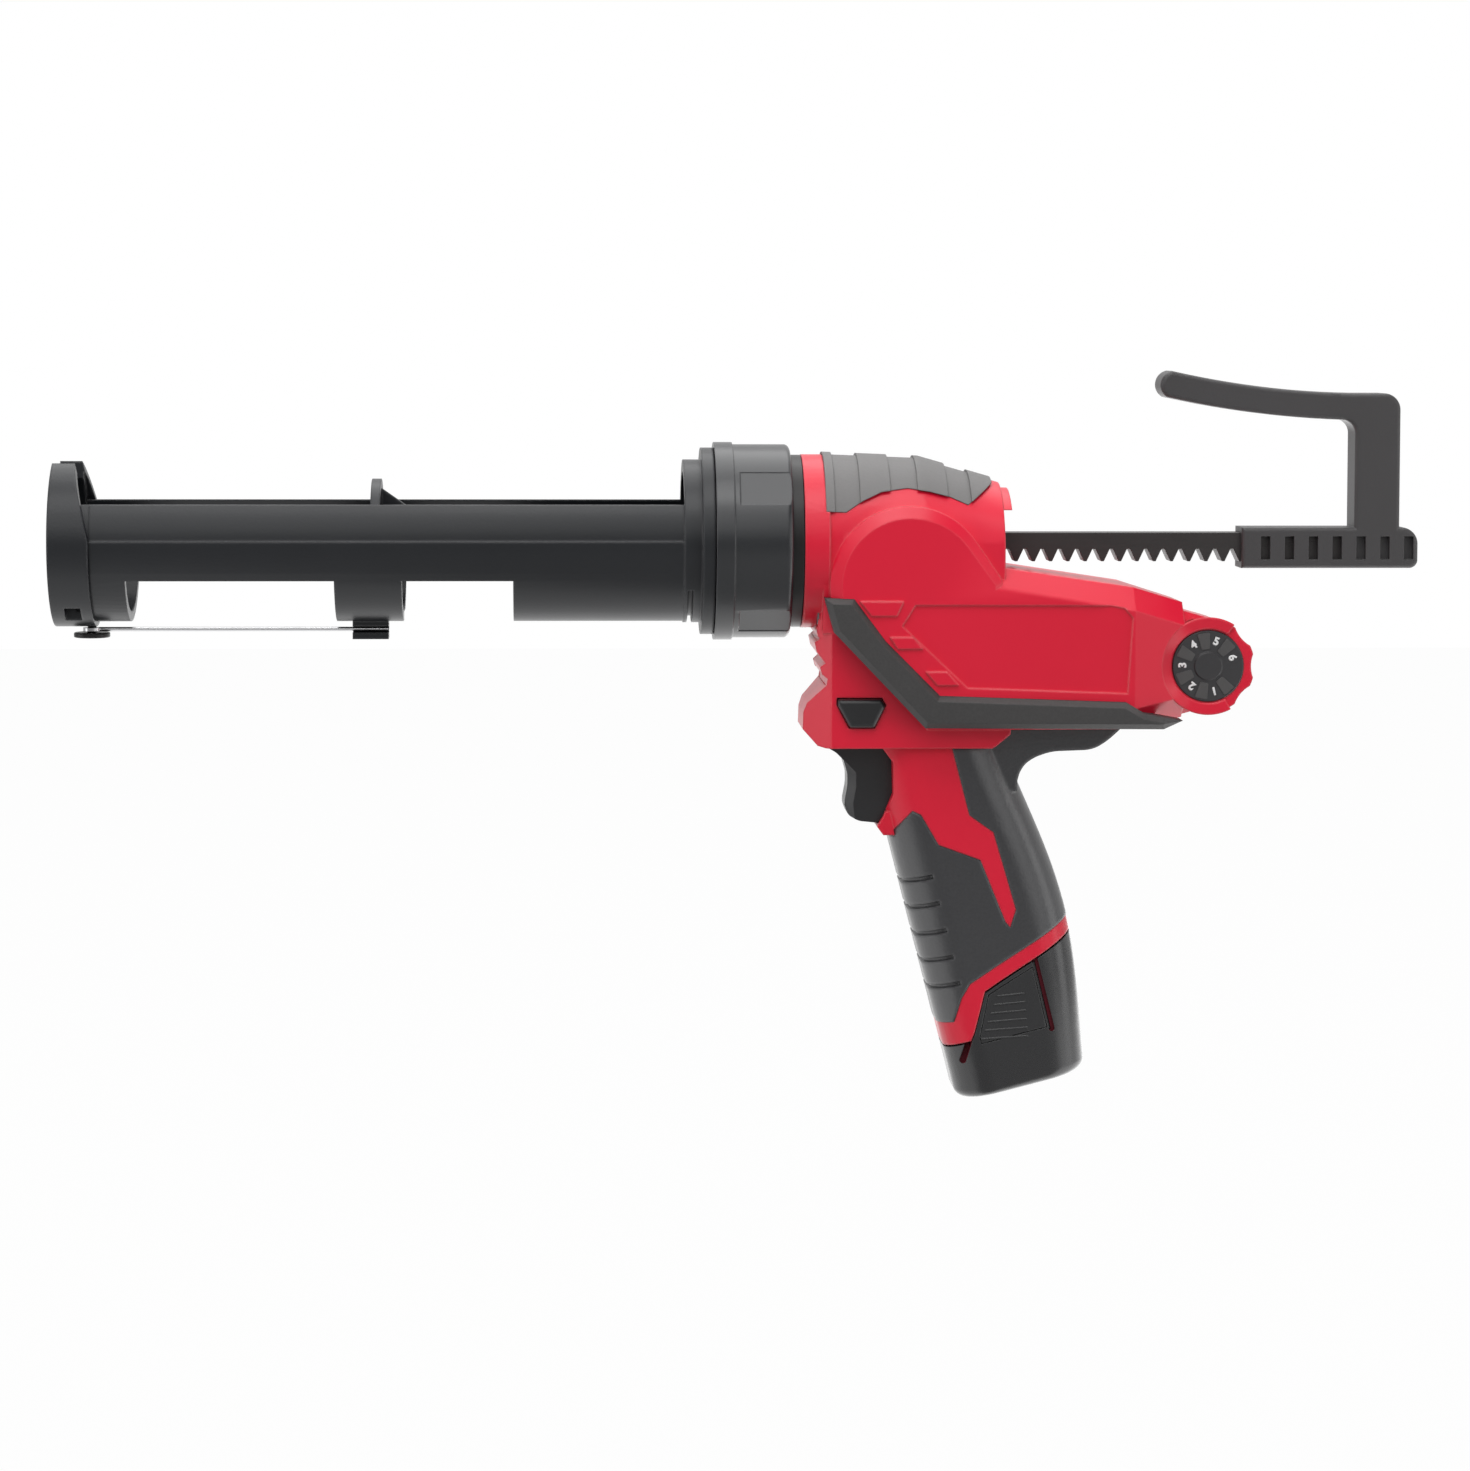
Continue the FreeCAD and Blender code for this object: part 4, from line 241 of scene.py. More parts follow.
def metal(name, look):
    material, tree = newFinish(name)
    cloud = noise(tree, look["cloud"], metalSet["cloudDetail"], metalSet["cloudBreak"])
    lines = noise(tree, look["grain"], metalSet["lineDetail"], metalSet["lineBreak"],
                  look.get("stretch", metalSet["drawn"]))
    rounded, turned = edges(tree, look["edge"])
    mottle = cloud * metalSet["cloudTone"] + lines * metalSet["lineTone"]
    tone = blend(tree, mottle, rgba(look["dark"]), rgba(look["light"]))
    # edges are pushed to the bright tone: partly wear, partly painted highlight
    tone = blend(tree, turned * look["wearAndHighlightShare"], tone, rgba(look["wearAndHighlightTone"]))
    rough = look["rough"] + (cloud - noiseMiddle) * metalSet["cloudGloss"]
    rough = rough + (lines - noiseMiddle) * metalSet["lineGloss"]
    return surface(material, tree, look, tone, rough, lines, rounded)


# In each look the third colour is the tone that edges, and rubber's pale bloom, are pushed towards: partly
# wear, partly painted highlight
redLook = dict(
    dark=(0.67, 0.006, 0.030), light=(0.74, 0.008, 0.038), wearAndHighlightTone=(0.95, 0.20, 0.22),
    cloud=14, grain=1500, rough=0.33, bump=0.10, depth=0.0002, edge=0.0010, wearAndHighlightShare=0.7, specular=0.42)
redShell = plastic("redShell", redLook)

carriageLook = dict(
    dark=(0.0088, 0.0100, 0.0122), light=(0.0134, 0.0148, 0.0176), wearAndHighlightTone=(0.075, 0.076, 0.082),
    cloud=18, grain=1300, rough=0.36, bump=0.16, depth=0.0002, edge=0.0011, wearAndHighlightShare=0.8, specular=0.38)
carriageBlack = plastic("carriageBlack", carriageLook)

collarLook = dict(carriageLook, rough=0.30, bump=0.10, edge=0.0007, specular=0.62)
collarBlack = plastic("collarBlack", collarLook)

batteryLook = dict(
    dark=(0.0065, 0.0065, 0.0078), light=(0.0098, 0.0098, 0.0112), wearAndHighlightTone=(0.04, 0.04, 0.043),
    cloud=20, grain=1400, rough=0.27, bump=0.05, depth=0.0002, edge=0.0005, wearAndHighlightShare=0.5, specular=0.65)
batteryBlack = plastic("batteryBlack", batteryLook)

controlLook = dict(
    dark=(0.009, 0.009, 0.010), light=(0.013, 0.013, 0.0145), wearAndHighlightTone=(0.04, 0.04, 0.042),
    cloud=30, grain=1600, rough=0.36, bump=0.12, depth=0.0002, edge=0.0005, wearAndHighlightShare=0.5)
controlBlack = plastic("controlBlack", controlLook)

handleLook = dict(
    dark=(0.038, 0.036, 0.037), light=(0.051, 0.048, 0.050), wearAndHighlightTone=(0.075, 0.072, 0.074),
    cloud=16, grain=1200, rough=0.46, bump=0.18, depth=0.0002, edge=0.0005, wearAndHighlightShare=0.5)
handleGrey = plastic("handleGrey", handleLook)

dialLook = dict(
    dark=(0.024, 0.023, 0.025), light=(0.033, 0.032, 0.034), wearAndHighlightTone=(0.05, 0.05, 0.053),
    cloud=60, grain=2200, rough=0.42, bump=0.12, depth=0.0001, edge=0.0003, wearAndHighlightShare=0.5)
dialGrey = plastic("dialGrey", dialLook)

padLook = dict(
    dark=(0.142, 0.138, 0.137), light=(0.170, 0.165, 0.164), wearAndHighlightTone=(0.21, 0.205, 0.20),
    cloud=22, grain=1000, rough=0.58, bump=0.28, depth=0.0002, edge=0.0006, wearAndHighlightShare=0.4)
padRubber = rubber("padRubber", padLook)

bumperLook = dict(
    dark=(0.030, 0.029, 0.029), light=(0.040, 0.038, 0.038), wearAndHighlightTone=(0.085, 0.082, 0.080),
    cloud=22, grain=1000, rough=0.52, bump=0.25, depth=0.0002, edge=0.0006, wearAndHighlightShare=0.4)
bumperRubber = rubber("bumperRubber", bumperLook)

gripLook = dict(
    dark=(0.0115, 0.0115, 0.0138), light=(0.0155, 0.0155, 0.0182), wearAndHighlightTone=(0.055, 0.055, 0.06),
    cloud=24, grain=900, rough=0.33, bump=0.22, depth=0.0002, edge=0.0016, wearAndHighlightShare=0.3, specular=0.9)
gripRubber = rubber("gripRubber", gripLook)

rodLook = dict(
    dark=(0.034, 0.031, 0.031), light=(0.050, 0.046, 0.045), wearAndHighlightTone=(0.16, 0.155, 0.15),
    cloud=45, grain=700, rough=0.42, bump=0.20, depth=0.0002, edge=0.0004, wearAndHighlightShare=0.45, metal=0.55)
rodSteel = metal("rodSteel", rodLook)

steelLook = dict(
    dark=(0.48, 0.48, 0.49), light=(0.62, 0.62, 0.63), wearAndHighlightTone=(0.72, 0.72, 0.72),
    cloud=60, grain=900, rough=0.28, bump=0.10, depth=0.0001, edge=0.0002, wearAndHighlightShare=0.5, metal=1.0)
brightSteel = metal("brightSteel", steelLook)

alloyLook = dict(
    dark=(0.20, 0.20, 0.21), light=(0.26, 0.26, 0.27), wearAndHighlightTone=(0.4, 0.4, 0.41),
    cloud=50, grain=1000, rough=0.46, bump=0.22, depth=0.0002, edge=0.0004, wearAndHighlightShare=0.5, metal=0.8,
    stretch=(1.0, 1.0, 1.0))
castAlloy = metal("castAlloy", alloyLook)

neckLook = dict(
    dark=(0.0055, 0.0050, 0.0052), light=(0.0090, 0.0080, 0.0084), wearAndHighlightTone=(0.05, 0.046, 0.046),
    cloud=40, grain=1100, rough=0.38, bump=0.16, depth=0.0002, edge=0.0005, wearAndHighlightShare=0.5, metal=0.1,
    specular=0.35)
neckDark = metal("neckDark", neckLook)

bronzeLook = dict(
    dark=(0.42, 0.26, 0.10), light=(0.55, 0.36, 0.15), wearAndHighlightTone=(0.66, 0.46, 0.22),
    cloud=60, grain=900, rough=0.34, bump=0.12, depth=0.0001, edge=0.0003, wearAndHighlightShare=0.5, metal=1.0)
bronze = metal("bronze", bronzeLook)

boardLook = dict(
    dark=(0.012, 0.10, 0.035), light=(0.02, 0.15, 0.05), wearAndHighlightTone=(0.09, 0.2, 0.1),
    cloud=200, grain=1500, rough=0.4, bump=0.15, depth=0.0001, edge=0.0002, wearAndHighlightShare=0.4)
boardGreen = plastic("boardGreen", boardLook)

cellLook = dict(
    dark=(0.03, 0.12, 0.26), light=(0.05, 0.17, 0.34), wearAndHighlightTone=(0.12, 0.24, 0.4),
    cloud=40, grain=1500, rough=0.32, bump=0.08, depth=0.0001, edge=0.0004, wearAndHighlightShare=0.4)
cellWrap = plastic("cellWrap", cellLook)

numeralLook = dict(
    dark=(0.72, 0.72, 0.72), light=(0.82, 0.82, 0.82), wearAndHighlightTone=(0.6, 0.6, 0.6),
    cloud=300, grain=3000, rough=0.5, bump=0.1, depth=0.00005, edge=0.0001, wearAndHighlightShare=0.3)
numeralWhite = plastic("numeralWhite", numeralLook)

# Walls of the battery's slits: dark red, painted shade standing in for the red part inside seen in shadow
slitShadedLook = dict(
    dark=(0.080, 0.005, 0.011), light=(0.110, 0.007, 0.015), wearAndHighlightTone=(0.05, 0.008, 0.012),
    cloud=80, grain=1500, rough=0.6, bump=0.1, depth=0.0001, edge=0.0001, wearAndHighlightShare=0.2, specular=0.2)
slitShadedRed = plastic("slitShadedRed", slitShadedLook)

# The petals are the dial's own plastic in a lighter copy: painted highlight on the raised petals
petalLitLook = dict(
    dark=(0.058, 0.056, 0.056), light=(0.074, 0.071, 0.071), wearAndHighlightTone=(0.09, 0.088, 0.089),
    cloud=90, grain=2200, rough=0.44, bump=0.12, depth=0.0001, edge=0.0002, wearAndHighlightShare=0.5)
petalLitGrey = plastic("petalLitGrey", petalLitLook)
print("finishes ready")


def newPiece(name, data):
    piece = bpy.data.objects.new(name, data)
    scene.collection.objects.link(piece)
    return piece


# Plain mesh of what an object's modifiers make
def baked(piece):
    graph = bpy.context.evaluated_depsgraph_get()
    graph.update()
    mesh = bpy.data.meshes.new_from_object(piece.evaluated_get(graph), depsgraph=graph)
    piece.modifiers.clear()
    old = piece.data
    piece.data = mesh
    bpy.data.meshes.remove(old)
    return piece


def meshFrom(work, name, finish):
    mesh = bpy.data.meshes.new(name)
    work.to_mesh(mesh)
    work.free()
    mesh.materials.append(finish)
    return mesh


# Straight block across the tool, over an outline of x and z points
def addBlock(work, outline, start, end):
    face = work.faces.new([work.verts.new((x, start, z)) for x, z in outline])
    raised = bmesh.ops.extrude_face_region(work, geom=[face])["geom"]
    far = [vert for vert in raised if isinstance(vert, bmesh.types.BMVert)]
    bmesh.ops.translate(work, verts=far, vec=(0, end - start, 0))


# Open slits beside the battery's release tabs: two ends, x and z, and how near the middle each slit goes
slitSet = dict(
    lines=[((0.1193, -0.1489), (0.1258, -0.1748), 0.0203), ((0.0970, -0.1761), (0.0941, -0.1870), 0.0165)],
    half=0.0011, beyond=0.0245, endSides=6)


def slitCutter():
    work = bmesh.new()
    for start, end, deepest in slitSet["lines"]:
        run = (Vector(end) - Vector(start)).normalized()
        side = Vector((-run.y, run.x))
        outline = []
        for spot, first in ((Vector(start), 0.0), (Vector(end), math.pi)):
            for step in range(slitSet["endSides"] + 1):
                turn = first + math.pi * step / slitSet["endSides"]
                outline.append(spot + (side * math.cos(turn) - run * math.sin(turn)) * slitSet["half"])
        for mark in (-1, 1):
            addBlock(work, outline, mark * deepest, mark * slitSet["beyond"])
    bmesh.ops.recalc_face_normals(work, faces=work.faces)
    # the cut walls take this dark red: painted shade of the red part behind
    return newPiece("slit_cutter", meshFrom(work, "slit_cutter", slitShadedRed))


# The front of the drive's frame is cut back in this box, to leave room for the wall of the chin
notchSet = dict(low=(0.035, -0.030, -0.060), high=(0.0465, 0.030, -0.029))


def notchCutter():
    low = Vector(notchSet["low"])
    high = Vector(notchSet["high"])
    work = bmesh.new()
    bmesh.ops.create_cube(work, size=1.0)
    bmesh.ops.scale(work, vec=high - low, verts=work.verts)
    bmesh.ops.translate(work, vec=(high + low) / 2, verts=work.verts)
    return newPiece("notch_cutter", meshFrom(work, "notch_cutter", castAlloy))


# Lines across the tool, at the corners of the curve under the heel and of the trigger's front
heelSet = dict(low=(0.109, -0.120), high=(0.158, -0.070), least=0.008, round=0.004, steps=4)
triggerSet = dict(low=(0.030, -0.140), high=(0.062, -0.070), least=0.005, round=0.003, steps=4)
cornerSet = dict(lean=2e-5, bend=5, profile=0.5)  # metres, degrees, and a round profile


def cornerLines(work, swept):
    lowX, lowZ = swept["low"]
    highX, highZ = swept["high"]
    found = []
    for line in work.edges:
        first, last = [vert.co for vert in line.verts]
        middle = (first + last) / 2
        lean = abs(first.x - last.x) + abs(first.z - last.z)
        across = abs(first.y - last.y) > swept["least"] and lean < cornerSet["lean"]
        inside = lowX < middle.x < highX and lowZ < middle.z < highZ
        if across and inside and line.calc_face_angle(0.0) > math.radians(cornerSet["bend"]):
            found.append(line)
    return found


# In degrees: edges that turn by more than sharp are rounded, unless a corner beside them is below thin
softSet = dict(merge=2e-6, flat=0.6, sharp=24, thin=14, segments=2, evenness=50)


# Copy of a CAD node's mesh with its loose triangles joined and its sharp edges marked
def joinedMesh(name, finish, swept):
    mesh = nodes[name].data.copy()
    work = bmesh.new()
    work.from_mesh(mesh)
    bmesh.ops.remove_doubles(work, verts=work.verts, dist=softSet["merge"])
    bmesh.ops.dissolve_limit(work, angle_limit=math.radians(softSet["flat"]), verts=work.verts,
                             edges=work.edges)
    if swept:
        bmesh.ops.bevel(work, geom=cornerLines(work, swept), offset=swept["round"], offset_type="OFFSET",
                        segments=swept["steps"], profile=cornerSet["profile"], affect="EDGES",
                        clamp_overlap=True)
    weight = work.edges.layers.float.new("bevel_weight_edge")
    for line in work.edges:
        if line.calc_face_angle(0.0) > math.radians(softSet["sharp"]):
            loops = [loop for face in line.link_faces for loop in face.loops if loop.vert in line.verts]
            narrowest = min(loop.calc_angle() for loop in loops)
            line[weight] = float(narrowest > math.radians(softSet["thin"]))
    work.to_mesh(mesh)
    work.free()
    mesh.materials.clear()
    mesh.materials.append(finish)
    mesh.shade_smooth()
    mesh.set_sharp_from_angle(angle=math.radians(softSet["sharp"]))
    return mesh


# A CAD node's dressed copy: cut open where it has a cutter, then rounded
def softened(name, edge, finish, cutter=None, swept=None):
    piece = newPiece(name + "_soft", joinedMesh(name, finish, swept))
    if cutter:
        opened = piece.modifiers.new("opened", "BOOLEAN")
        opened.object = cutter
        opened.operation = "DIFFERENCE"
        opened.solver = "EXACT"
        opened.material_mode = "TRANSFER"
    rounding = piece.modifiers.new("rounding", "BEVEL")
    rounding.width = edge
    rounding.segments = softSet["segments"]
    rounding.limit_method = "WEIGHT"
    rounding.use_clamp_overlap = True
    rounding.miter_outer = "MITER_ARC"
    evened = piece.modifiers.new("evened", "WEIGHTED_NORMAL")
    evened.mode = "FACE_AREA_WITH_ANGLE"
    evened.weight = softSet["evenness"]
    evened.keep_sharp = True
    baked(piece)
    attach(piece, bodyOf[name])
    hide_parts(name)


def dressed(names, finish):
    for name in names:
        mesh = nodes[name].data
        mesh.materials.clear()
        mesh.materials.append(finish)


outerPieces = dict(
    housing=dict(names=("housing_left", "housing_right"), edge=0.0007, finish=redShell),
    topPad=dict(names=("top_pad_left", "top_pad_right"), edge=0.0005, finish=padRubber),
    bumper=dict(names=("bumper_left", "bumper_right"), edge=0.0006, finish=bumperRubber),
    grip=dict(names=("grip_sleeve_left", "grip_sleeve_right"), edge=0.0004, finish=gripRubber, swept=heelSet),
    carriage=dict(names=("carriage_frame",), edge=0.0009, finish=carriageBlack),
    cap=dict(names=("front_cap",), edge=0.0007, finish=carriageBlack),
    collar=dict(names=("retaining_collar",), edge=0.0006, finish=collarBlack),
    neck=dict(names=("nose_neck",), edge=0.0005, finish=neckDark),
    plunger=dict(names=("plunger_head",), edge=0.0006, finish=carriageBlack),
    rod=dict(names=("rack_rod",), edge=0.0003, finish=rodSteel),
    handle=dict(names=("pull_handle",), edge=0.0004, finish=handleGrey),
    trigger=dict(names=("trigger",), edge=0.0009, finish=controlBlack, swept=triggerSet),
    lock=dict(names=("lock_button",), edge=0.0005, finish=controlBlack),
    dial=dict(names=("speed_dial",), edge=0.0004, finish=redShell),
    dialFace=dict(names=("dial_face",), edge=0.0003, finish=dialGrey),
    battery=dict(names=("battery_case",), edge=0.0005, finish=batteryBlack, cutter=slitCutter()),
    latch=dict(names=("battery_latch_left", "battery_latch_right"), edge=0.0003, finish=batteryBlack),
    stem=dict(names=("battery_stem",), edge=0.0004, finish=batteryBlack),
    guide=dict(names=("rear_rod_guide",), edge=0.0004, finish=controlBlack),
    button=dict(names=("wire_pivot",), edge=0.0004, finish=neckDark),
    frame=dict(names=("gear_frame",), edge=0.0003, finish=castAlloy, cutter=notchCutter()),
)
for kit in outerPieces.values():
    for part in kit["names"]:
        softened(part, kit["edge"], kit["finish"], kit.get("cutter"), kit.get("swept"))
    if "cutter" in kit:
        bpy.data.objects.remove(kit["cutter"])
print("outer pieces softened:", len(outerPieces))

dressed(("piercing_wire", "handle_pin", "collar_snap_ring", "output_shaft", "output_gear", "rack_pinion",
         "cross_shaft", "spur_pinion", "bevel_gear", "bevel_pinion", "gearbox_shaft", "neck_screws",
         "motor_can"), brightSteel)
dressed(("gearbox_case",), castAlloy)
dressed(("shaft_bushes", "contact_blades"), bronze)
dressed(("trigger_switch", "dial_control", "contact_block", "motor_end_cap"), controlBlack)
dressed(("control_board",), boardGreen)
dressed(("battery_cells",), cellWrap)
print("inner pieces dressed")


# Geometry Nodes: each group has named inputs, and ends in real geometry with its finish on it
def newGroup(name, inputs):
    group = bpy.data.node_groups.new(name, "GeometryNodeTree")
    group.interface.new_socket("Geometry", in_out="INPUT", socket_type="NodeSocketGeometry")
    for label, kind in inputs.items():
        group.interface.new_socket(label, in_out="INPUT", socket_type="NodeSocket" + kind)
    group.interface.new_socket("Geometry", in_out="OUTPUT", socket_type="NodeSocketGeometry")
    return NodeTree(group)


def taken(tree, label):
    return tree.node("NodeGroupInput", out=label)


def closeGroup(tree, geometry):
    geometry = tree.node("GeometryNodeRealizeInstances", None, {"Geometry": geometry})
    geometry = tree.node("GeometryNodeSetMaterial", None, {
        "Geometry": geometry, "Material": taken(tree, "Finish")})
    tree.node("NodeGroupOutput", None, {"Geometry": geometry})
    return tree.tree


grownSharp = 40  # degrees between two faces


def grown(name, group, values, mesh=None):
    piece = newPiece(name, mesh or bpy.data.meshes.new(name))
    maker = piece.modifiers.new("maker", "NODES")
    maker.node_group = group
    for socket in group.interface.items_tree:
        if socket.in_out == "INPUT" and socket.name in values:
            maker[socket.identifier] = values[socket.name]
    baked(piece)
    piece.data.shade_smooth()
    piece.data.set_sharp_from_angle(angle=math.radians(grownSharp))
    return piece


# Finger ribs on the battery's release tabs
ribSet = dict(
    count=6, first=(0.1159, 0.0219, -0.1620), step=(0.0003, 0.0, -0.0031), rib=(-0.0100, 0.0, -0.0011),
    growth=0.14, radius=0.00045, sides=12)


def ribGroup():
    tree = newGroup("fingerRibs", {"Ribs": "Int", "First": "Vector", "Step": "Vector", "Rib": "Vector",
                                   "Growth": "Float", "Radius": "Float", "Finish": "Material"})
    row = tree.node("GeometryNodeMeshLine", None, {
        "Count": taken(tree, "Ribs"), "Start Location": taken(tree, "First"), "Offset": taken(tree, "Step")})
    path = tree.node("GeometryNodeCurvePrimitiveLine", None, {
        "Start": (0.0, 0.0, 0.0), "End": taken(tree, "Rib")})
    ring = tree.node("GeometryNodeCurvePrimitiveCircle", None, {
        "Resolution": ribSet["sides"], "Radius": taken(tree, "Radius")})
    rib = tree.node("GeometryNodeCurveToMesh", None, {
        "Curve": path, "Profile Curve": ring, "Fill Caps": True})
    longer = tree.node("GeometryNodeInputIndex") * taken(tree, "Growth") + 1.0
    sized = tree.node("ShaderNodeCombineXYZ", None, {"X": longer, "Y": 1.0, "Z": 1.0})
    return closeGroup(tree, tree.node("GeometryNodeInstanceOnPoints", None, {
        "Points": row, "Instance": rib, "Scale": sized}))


def makeRibs():
    group = ribGroup()
    for side, mark in (("left", -1), ("right", 1)):
        x, y, z = ribSet["first"]
        ribs = grown("latch_ribs_" + side, group, {
            "Ribs": ribSet["count"], "First": (x, mark * y, z), "Step": ribSet["step"], "Rib": ribSet["rib"],
            "Growth": ribSet["growth"], "Radius": ribSet["radius"], "Finish": batteryBlack})
        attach(ribs, "latch_" + side)


# Dial face: raised petals between the numbers, and the numbers themselves
dialSet = dict(
    centre=(0.1815, -0.0206, -0.0440), radius=0.0092, firstNumber=284, turn=53, numbers=6,
    petalInset=0.0002, petalLong=0.0058, petalFoot=0.0030, petalHead=0.0046, petalRise=0.0003,
    petalRound=0.0005, petalSteps=4, petalMerge=1e-6,
    numberSize=0.0039, numberBold=0.0002, numberRise=0.00004, numberMerge=1e-7)


def petalGroup():
    tree = newGroup("dialPetals", {
        "Petals": "Int", "Centre": "Vector", "Radius": "Float", "First": "Float", "Turn": "Float",
        "Length": "Float", "Foot": "Float", "Head": "Float", "Rise": "Float", "Round": "Float",
        "Finish": "Material"})
    outline = tree.node("GeometryNodeCurvePrimitiveQuadrilateral", {"mode": "TRAPEZOID"}, {
        "Height": taken(tree, "Length"), "Bottom Width": taken(tree, "Foot"),
        "Top Width": taken(tree, "Head"), "Offset": 0.0})
    outline = tree.node("GeometryNodeFilletCurve", {"mode": "POLY"}, {
        "Curve": outline, "Count": dialSet["petalSteps"], "Radius": taken(tree, "Round")})
    flat = tree.node("GeometryNodeFillCurve", {"mode": "NGONS"}, {"Curve": outline})
    raised = tree.node("GeometryNodeExtrudeMesh", None, {"Mesh": flat, "Offset Scale": taken(tree, "Rise")})
    under = tree.node("GeometryNodeFlipFaces", None, {"Mesh": flat})
    petal = tree.node("GeometryNodeJoinGeometry", None, {"Geometry": [raised, under]})
    petal = tree.node("GeometryNodeMergeByDistance", None, {
        "Geometry": petal, "Distance": dialSet["petalMerge"]})
    petal = tree.node("GeometryNodeTransform", None, {"Geometry": petal, "Rotation": (quarterTurn, 0, 0)})
    angle = taken(tree, "First") + tree.node("GeometryNodeInputIndex") * taken(tree, "Turn")
    around = tree.node("ShaderNodeCombineXYZ", None, {
        "X": tree.node("ShaderNodeMath", {"operation": "COSINE"}, {0: angle}) * taken(tree, "Radius"),
        "Z": tree.node("ShaderNodeMath", {"operation": "SINE"}, {0: angle}) * taken(tree, "Radius")})
    place = tree.node("ShaderNodeVectorMath", {"operation": "ADD"}, {0: taken(tree, "Centre"), 1: around})
    ring = tree.node("GeometryNodeMeshLine", None, {"Count": taken(tree, "Petals")})
    ring = tree.node("GeometryNodeSetPosition", None, {"Geometry": ring, "Position": place})
    leaned = tree.node("ShaderNodeCombineXYZ", None, {"Y": quarterTurn - angle})
    leaned = tree.node("FunctionNodeEulerToRotation", None, {0: leaned})
    return closeGroup(tree, tree.node("GeometryNodeInstanceOnPoints", None, {
        "Points": ring, "Instance": petal, "Rotation": leaned}))


# the petals take the lighter copy of the dial's plastic: painted highlight
def makePetals():
    petals = grown("dial_petals", petalGroup(), {
        "Petals": dialSet["numbers"], "Centre": dialSet["centre"],
        "Radius": dialSet["radius"] - dialSet["petalInset"],
        "First": math.radians(dialSet["firstNumber"] + dialSet["turn"] / 2),
        "Turn": math.radians(-dialSet["turn"]), "Length": dialSet["petalLong"],
        "Foot": dialSet["petalFoot"], "Head": dialSet["petalHead"], "Rise": dialSet["petalRise"],
        "Round": dialSet["petalRound"], "Finish": petalLitGrey})
    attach(petals, "dial")


# Mesh of one number in its place on the dial, with its foot towards the middle
def numberMesh(number):
    digit = bpy.data.curves.new("digit", "FONT")
    digit.body = str(number + 1)
    digit.size = dialSet["numberSize"]
    digit.align_x = "CENTER"
    digit.align_y = "CENTER"
    digit.extrude = dialSet["numberRise"]
    digit.bevel_depth = dialSet["numberBold"]
    digit.bevel_resolution = 0
    writer = newPiece("digit", digit)
    graph = bpy.context.evaluated_depsgraph_get()
    mesh = bpy.data.meshes.new_from_object(writer.evaluated_get(graph), depsgraph=graph)
    bpy.data.objects.remove(writer)
    bpy.data.curves.remove(digit)
    angle = math.radians(dialSet["firstNumber"] - number * dialSet["turn"])
    out = Vector((math.cos(angle), 0, math.sin(angle)))
    along = Vector((math.sin(angle), 0, -math.cos(angle)))
    place = Vector(dialSet["centre"]) + out * dialSet["radius"]
    turned = Matrix((along, out, (0, -1, 0))).transposed().to_4x4()
    mesh.transform(Matrix.Translation(place) @ turned)
    return mesh


def makeNumbers():
    work = bmesh.new()
    for number in range(dialSet["numbers"]):
        mesh = numberMesh(number)
        work.from_mesh(mesh)
        bpy.data.meshes.remove(mesh)
    bmesh.ops.remove_doubles(work, verts=work.verts, dist=dialSet["numberMerge"])
    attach(newPiece("dial_numbers", meshFrom(work, "dial_numbers", numeralWhite)), "dial")


# A moulded form of the housing's own plastic, rounded at its edges
shellSet = dict(sharp=35, segments=2)


def finishShell(work, name, edge):
    bmesh.ops.recalc_face_normals(work, faces=work.faces)
    mesh = meshFrom(work, name, redShell)
    mesh.shade_smooth()
    mesh.set_sharp_from_angle(angle=math.radians(shellSet["sharp"]))
    piece = newPiece(name, mesh)
    rounding = piece.modifiers.new("rounding", "BEVEL")
    rounding.width = edge
    rounding.segments = shellSet["segments"]
    rounding.limit_method = "ANGLE"
    rounding.angle_limit = math.radians(shellSet["sharp"])
    baked(piece)
    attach(piece, "housing")


# Hood of the housing round the dial, which leaves its teeth free at the back
cowlSet = dict(
    centre=(0.1815, -0.0440), inner=0.0133, outer=0.0176, first=58, last=298, step=4, back=-0.0204,
    lip=-0.0210, rim=-0.0215, facetEnd=0.173, facetSlope=0.437, edge=0.0004)


def makeCowl():
    work = bmesh.new()
    rings = []
    for angle in range(cowlSet["first"], cowlSet["last"] + 1, cowlSet["step"]):
        out = Vector((math.cos(math.radians(angle)), math.sin(math.radians(angle))))
        near = Vector(cowlSet["centre"]) + out * cowlSet["inner"]
        far = Vector(cowlSet["centre"]) + out * cowlSet["outer"]
        # the outer rim meets the slanting side of the barrel
        rim = cowlSet["rim"] - max(0.0, cowlSet["facetEnd"] - far.x) * cowlSet["facetSlope"]
        corners = [(near, cowlSet["lip"]), (far, rim), (far, cowlSet["back"]), (near, cowlSet["back"])]
        rings.append([work.verts.new((spot.x, level, spot.y)) for spot, level in corners])
    for one, two in zip(rings, rings[1:]):
        for corner in range(len(one)):
            work.faces.new((one[corner], one[corner - 1], two[corner - 1], two[corner]))
    work.faces.new(rings[0])
    work.faces.new(rings[-1])
    finishShell(work, "dial_cowl", cowlSet["edge"])


# Wall that closes the front of the chin behind its ridges: x and z points down its front and up its back
chinSet = dict(
    front=[(0.0410, -0.0290), (0.0410, -0.0332), (0.0419, -0.0342), (0.0410, -0.0351), (0.0410, -0.0394),
           (0.0437, -0.0429), (0.0419, -0.0444), (0.0426, -0.0469), (0.0445, -0.0484), (0.0441, -0.0512)],
    back=[(0.0463, -0.0512), (0.0463, -0.0420), (0.0430, -0.0360), (0.0430, -0.0290)],
    half=0.0186, edge=0.0003)


